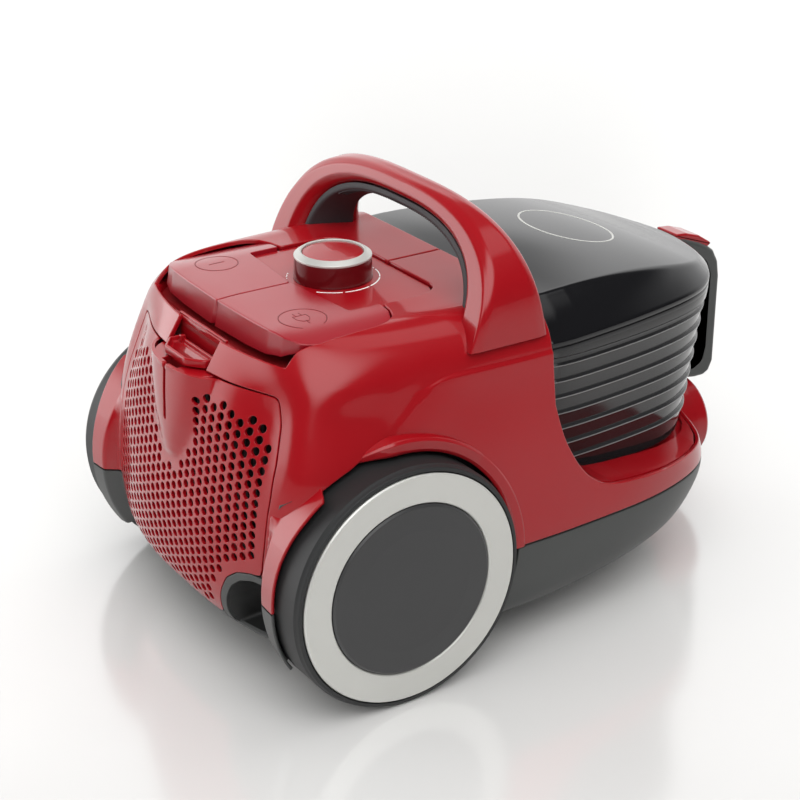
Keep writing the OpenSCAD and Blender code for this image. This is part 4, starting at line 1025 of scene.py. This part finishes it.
# rows of raised dots on the inside of the grip
dots = []
for t in arch_turns(120)[26:-26]:
    rear = arch(t, *GRIP_SECTION[3])
    front = arch(t, *GRIP_SECTION[2])
    nxt = arch(t + 0.01, *GRIP_SECTION[3])
    along = unit(nxt - rear)
    across = unit(front - rear)
    up = unit(np.cross(along, across))
    if up[2] > 0:
        up = -up
    for share in (0.14, 0.27, 0.40):
        c = rear + (front - rear) * share + up * 0.1
        ring = [[c + (along * math.cos(a) + across * math.sin(a)) * r + up * lift
                 for a in np.linspace(0, 2 * math.pi, 8, endpoint=False)]
                for r, lift in ((0.95, -0.4), (0.85, 0.35), (0.45, 0.6))]
        dots.append(loft(ring))
make("grip_dots", merge(dots), GRIP, "housing")

# ---------------------------------------------------------------- cradle ledge round the cup
cup_low = closed_spline(full(CUP_LOW), 240)
cup_high = closed_spline(full(CUP_HIGH), 240)


def cup_ring(z, grow):
    """The cup's outline at height z, moved out by grow."""
    t = (z - CUP_Z) / (CUP_TOP - CUP_Z)
    q = cup_low * (1 - t) + cup_high * t
    return level_ring(q, outward(q), grow, z)


ledge_hole = sdf(cup_ring(CUP_Z + 3, 2.4)[:, :2])
seat_shape = sdf(body_row(96)[::2, :2])


def ledge_height(a, b):
    flat_rim = np.interp(b, rim_y, rim_fine)
    inner = np.clip((ledge_hole(np.c_[a.ravel(), b.ravel()]).reshape(a.shape) + 30) / 30, 0, 1)
    return np.minimum(flat_rim, 112) - 1.0 - 2.2 * inner


ledge = table(-140, 140, 120, 304, 2.0, ledge_height)
ledge = ledge.clip(within(seat_shape, 2.4), beyond(ledge_hole, 0.4))
make("cradle_ledge", ledge.shell(2.0, 0.7), RED, "housing")

# ---------------------------------------------------------------- dust cup
STEPS = 7
pitch = (184 - CUP_Z - 10) / STEPS
profile = [(CUP_Z, -5.5), (CUP_Z + 0.4, -3.2), (CUP_Z + 1.6, -1.6), (CUP_Z + 3.4, -0.8)]
for k in range(STEPS):
    z0 = CUP_Z + 9 + pitch * k
    profile += [(z0, -0.8), (z0 + pitch * 0.5, 0.0), (z0 + pitch - 2.6, 0.75), (z0 + pitch - 2.0, 0.72),
                (z0 + pitch - 1.4, 0.3), (z0 + pitch - 0.6, -0.6), (z0 + pitch - 0.2, -0.78)]
profile += [(184, -0.7), (186.6, -0.5), (187, 0.9), (187.5, 1.4), (193.2, 1.5), (194.2, 1.2), (194.6, 0.4),
            (194.7, -1.2), (194.4, -2.2), (190, -2.6), (120, -3.0), (97, -3.6), (94, -5.5), (93, -9)]
cup = np.array([cup_ring(z, g) for z, g in profile])
cup_sheet = Sheet.grid(cup, closed=True)
n = len(cup_low)
cup_sheet = merge([cup_sheet, Sheet(cup[0], np.tile((0, 0, -1.0), (n, 1)), [tuple(reversed(range(n)))]),
                   Sheet(cup[-1], np.tile((0, 0, 1.0), (n, 1)), [tuple(range(n))])])
make("dust_cup_wall", cup_sheet, SMOKED, "cup", ["dust_cup", "cup_rim"])

# light grey bands just proud of each ledge of the cup: painted highlights of the ledges
highlight_bands = []
for k in range(STEPS):
    z0 = CUP_Z + 9 + pitch * (k + 1) - 2.2
    highlight_bands.append(Sheet.grid(np.array([cup_ring(z, g) for z, g in (
        (z0 - 0.6, 0.2), (z0 - 0.35, 0.95), (z0 + 0.25, 0.95), (z0 + 0.5, 0.1))]), closed=True))
make("cup_ledge_painted_highlights", merge(highlight_bands), LEDGE_HIGHLIGHT, "cup")



def upright(q):
    """Maps a plate drawn in y and z to one with its thickness along x."""
    return np.c_[q[:, 2], q[:, 0], q[:, 1]]


line, normals = rounded(HANDLE_LINE, 4, 4)
handle = pad(line, normals, -13, 13, 4, 4, put=upright)
make("cup_handle_bow", handle, GREY, "cup", ["cup_handle"])
line, normals = rounded([(315.4, 204.2), (316.4, 200), (334, 194.4), (346, 188.6), (350.6, 191.4),
                         (338, 199.4), (326, 203.2)], 2, 4)
button = pad(line, normals, -11, 11, 1.6, 1.6, put=upright)
make("cup_release", button, RED, "button", ["cup_button"])

# ---------------------------------------------------------------- lid
LID_EDGE_Z = 203.0
lid_t, lid_w, lid_c = np.array(LID_ROWS, float).T.copy()
side_half = open_spline(np.c_[lid_w, lid_t], 120)
lid_outline = np.concatenate([np.c_[np.linspace(0, 119.5, 36)[:-1], np.full(35, 119.8)], side_half,
                              [(0.0, 315.0)]])
lid_outline = full(lid_outline)
lid_edge = sdf(lid_outline)


def lid_height(a, b):
    """A gently crowned top that meets a straight sloping side in a tight edge."""
    a, b = np.ravel(a), np.ravel(b)
    w = np.interp(b, lid_t, lid_w)
    c = spline(lid_t, lid_c[:, None], np.clip(b, 119.8, 314.6))[:, 0]
    top = c - 0.2 * (c - LID_EDGE_Z) * (a / w) ** 2
    inset = np.maximum(lid_edge(np.c_[a, b]), 0)
    inset = np.where(b < 150, np.minimum(w - np.abs(a), 99), inset)
    slope = LID_EDGE_Z + 0.86 * inset + 1.2 * np.sin(np.clip(inset / 24, 0, 1) * math.pi)
    h = np.clip(0.5 + 0.5 * (slope - top) / 1.6, 0, 1)
    return top * h + slope * (1 - h) - 1.6 * h * (1 - h)


lid_n = outward(lid_outline)
lid_rows = [level_ring(lid_outline, lid_n, g, h)
            for g, h in ((-8, 195.4), (-0.9, 195.5), (-0.3, 195.9), (-0.2, 198.4), (-0.9, 198.7),
                         (-0.9, 199.5), (-0.1, 199.8), (0, 201.9), (-0.2, 202.6), (-0.5, LID_EDGE_Z))]
for s in np.concatenate([np.linspace(0, 0.36, 40), np.linspace(0.38, 1, 20)]):
    y_mid = np.clip(lid_outline[:, 1], 119.8, 250)
    q = np.c_[lid_outline[:, 0] * (1 - s), lid_outline[:, 1] + (y_mid - lid_outline[:, 1]) * s]
    q = q - lid_n * 0.5 * (1 - s)
    lid_rows.append(np.c_[q, np.maximum(lid_height(q[:, 0], q[:, 1]), LID_EDGE_Z)])
make("cup_lid_dome", Sheet.grid(np.array(lid_rows), closed=True), GLOSS, "lid", ["cup_lid"])
ring_line = oval(*LID_RING, 0, 360, 97)[:-1]
make("lid_ring", ribbon(ring_line, 1.5, True, lid_height, 0.15), SILVER, "lid")

# ---------------------------------------------------------------- wheels
RING_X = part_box("ring_right")[1].x * 1000
TREAD_X1 = RING_X - 1
TREAD_X0 = TREAD_X1 - 35
for side, tag, body_name in ((1, "right", "wheel_r"), (-1, "left", "wheel_l")):
    for name, outline, radii, steps, material, node, slot in (
            ("tyre_tread_", [(70.1, TREAD_X0), (77, TREAD_X0), (80, TREAD_X0 + 3.4), (80, TREAD_X1 - 4.2),
                             (79.2, TREAD_X1 - 2.4), (78.6, TREAD_X1 - 0.4), (76.2, TREAD_X1 - 0.1),
                             (75.9, TREAD_X1 - 2.2), (70.1, TREAD_X1 - 2.2)],
             [0.4, 1.5, 2.5, 1.2, 0.8, 0.8, 0.4, 0.3, 0.3], 192, TYRE, "tyre_", "tyre_rubber"),
            ("trim_ring_", [(56.3, 143.2), (75.0, 143.2), (75.3, RING_X - 1.0), (74.5, RING_X),
                            (57.2, RING_X - 0.1), (56.5, RING_X - 0.8)],
             [0.1, 0.3, 0.5, 0.5, 0.4, 0.2], 192, SILVER, "ring_", "satin_silver"),
            ("hub_disc_", [(0, 142), (56, 142), (56, RING_X - 0.4), (54.6, RING_X + 0.7),
                           (40, RING_X + 1.9), (20, RING_X + 2.5), (0, RING_X + 2.7)],
             [0, 0.1, 0.4, 1.0, 12, 12, 0], 160, DISC, "disc_", "disc_grey")):
        made = lathe(outline, radii, "x", (0, 0, AXLE_Z), side, steps)
        make(name + tag, made, material, body_name, [node + tag])

# ---------------------------------------------------------------- hose inlet
front = (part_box("hose_collar")[1].y - AXLE_Y) * 1000
make("inlet_collar", lathe(
    [(19, front - 40), (19, front - 1), (20, front), (27.4, front), (28, front - 0.9), (28.6, front - 0.9),
     (29, front), (30.8, front - 0.2), (32, front - 2.2), (32, front - 11), (31.2, front - 20),
     (30.2, front - 41), (28, front - 41), (28, front - 40)],
    [0.4, 0.6, 0.6, 0.3, 0.2, 0.2, 0.3, 0.8, 1.2, 2, 2, 0.5, 0.3, 0.3], "y", (0, 0, HOSE_Z), 1, 144),
    RED, "housing", ["hose_collar"])

# ---------------------------------------------------------------- finish of the frame's own parts
OWN = {"cup_cradle": RED, "service_frame": DARK_RED, "speed_control": BLACK, "power_switch": BLACK,
       "control_board": BOARD, "exhaust_filter": FILTER_PAINTED_SHADE, "inlet_duct": GREY, "bay_filter": GRIP,
       "lid_seal": GRIP, "cyclone_cone": BLACK, "motor_case": BRIGHT, "motor_mount": GRIP,
       "motor_rotor": COPPER, "reel_drum": BLACK, "reel_hub": BLACK, "reel_brake": BLACK,
       "wheel_right": GREY, "wheel_left": GREY, "axle_right": BRIGHT, "axle_left": BRIGHT,
       "caster_fork": GREY, "caster_wheel": TYRE, "caster_pin": BRIGHT}
for node, material in OWN.items():
    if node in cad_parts:
        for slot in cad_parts[node].material_slots:
            slot.material = material

# ---------------------------------------------------------------- floor, light, camera
FLOOR = 40  # half the width of the floor, in metres
floor_mesh = bpy.data.meshes.new("floor")
floor_mesh.from_pydata([(-FLOOR, -FLOOR, 0), (FLOOR, -FLOOR, 0), (FLOOR, FLOOR, 0), (-FLOOR, FLOOR, 0)],
                       [], [(0, 1, 2, 3)])
floor = add_object("floor", floor_mesh)
floor_mesh.materials.append(finish("studio_floor", (0.66, 0.655, 0.645), 0.15, vary=0.0, rough_vary=0.02,
                                   ior=2.5))


def lamp(name, kind, at, power):
    """A light that does not show in reflections, turned to the middle of the object."""
    obj = add_object(name, bpy.data.lights.new(name, kind))
    obj.data.energy = power
    obj.visible_glossy = False
    if at:
        obj.location = at
        obj.rotation_euler = (Vector((0, 0, 0.12)) - Vector(at)).to_track_quat("-Z", "Y").to_euler()
    return obj.data


for name, at, power in (("key_soft", (1.5, 0.2, 1.2), 3), ("rear_soft", (0.1, -1.7, 1.0), 4)):
    panel = lamp(name, "AREA", at, power)
    panel.shape = "RECTANGLE"
    panel.size, panel.size_y = 0.9, 0.9
lamp("sky_soft", "SUN", None, 1.9).angle = math.radians(95)
WALL_LIGHT, ROOM_LIGHT = 1.15, 0.06
# bright panels of the studio as seen in reflections: direction, cosines of its soft edge, strength
PANELS = [((-0.75, -0.66, 0.0), 0.84, 0.95, 2.5), ((0.03, 0.38, 0.93), 0.94, 0.985, 0.9),
          ((0.55, -0.30, 0.78), 0.78, 0.95, 2.6)]


def studio_world():
    """A white wall behind the object, dark above and behind the camera."""
    world = bpy.data.worlds.new("studio")
    bpy.context.scene.world = world
    world.use_nodes = True
    t = world.node_tree
    place = t.nodes.new("ShaderNodeTexCoord")
    split = t.nodes.new("ShaderNodeSeparateXYZ")
    t.links.new(place.outputs["Generated"], split.inputs["Vector"])

    def ramp(value, low, high, start, end):
        r = t.nodes.new("ShaderNodeMapRange")
        r.interpolation_type = "SMOOTHSTEP"
        set_inputs(r, {"From Min": low, "From Max": high, "To Min": start, "To Max": end})
        t.links.new(value, r.inputs["Value"])
        return r.outputs["Result"]

    def combine(kind, a, b):
        m = t.nodes.new("ShaderNodeMath")
        m.operation = kind
        for k, item in enumerate((a, b)):
            if isinstance(item, float):
                m.inputs[k].default_value = item
            else:
                t.links.new(item, m.inputs[k])
        return m.outputs["Value"]

    def along(x, y):
        """How far the view direction leans towards a level direction."""
        return combine("ADD", combine("MULTIPLY", split.outputs["X"], x),
                       combine("MULTIPLY", split.outputs["Y"], y))
    wall = combine("MULTIPLY", ramp(split.outputs["Z"], 0.54, 0.66, 1.0, 0.0),
                   ramp(along(-0.835, 0.55), 0.1, 0.6, 0.0, 1.0))
    # a dark strip in the wall
    across = along(0.552, 0.834)
    flag = combine("MULTIPLY", ramp(across, -0.11, 0.0, 0.0, 0.5), ramp(across, 0.08, 0.18, 1.0, 0.0))
    flag = combine("MULTIPLY", flag, ramp(split.outputs["Z"], 0.22, 0.34, 0.0, 1.0))
    flag = combine("MULTIPLY", flag, ramp(split.outputs["Z"], 0.42, 0.5, 1.0, 0.0))
    wall = combine("MULTIPLY", wall, combine("SUBTRACT", 1.0, flag))
    light = combine("ADD", combine("MULTIPLY", wall, WALL_LIGHT), ROOM_LIGHT)
    for direction, low, high, strength in PANELS:
        dot = t.nodes.new("ShaderNodeVectorMath")
        dot.operation = "DOT_PRODUCT"
        dot.inputs[1].default_value = direction
        t.links.new(place.outputs["Generated"], dot.inputs[0])
        light = combine("ADD", light, ramp(dot.outputs["Value"], low, high, 0.0, strength))
    t.nodes["Background"].inputs["Color"].default_value = (1, 1, 1, 1)
    t.links.new(light, t.nodes["Background"].inputs["Strength"])


studio_world()

# fitted to the photograph's view: focal length in mm, place in metres, angles in degrees
LENS, CAMERA_AT, CAMERA_TILT, CAMERA_TURN = 84.8, (0.960, -0.6835, 0.648), 65.7, 56.5
camera = add_object("camera", bpy.data.cameras.new("camera"))
camera.data.lens = LENS
camera.data.sensor_width = 36
camera.data.clip_end = 50
camera.location = CAMERA_AT
camera.rotation_euler = (math.radians(CAMERA_TILT), 0, math.radians(CAMERA_TURN))
bpy.context.scene.camera = camera
bpy.context.scene.view_settings.view_transform = "Standard"
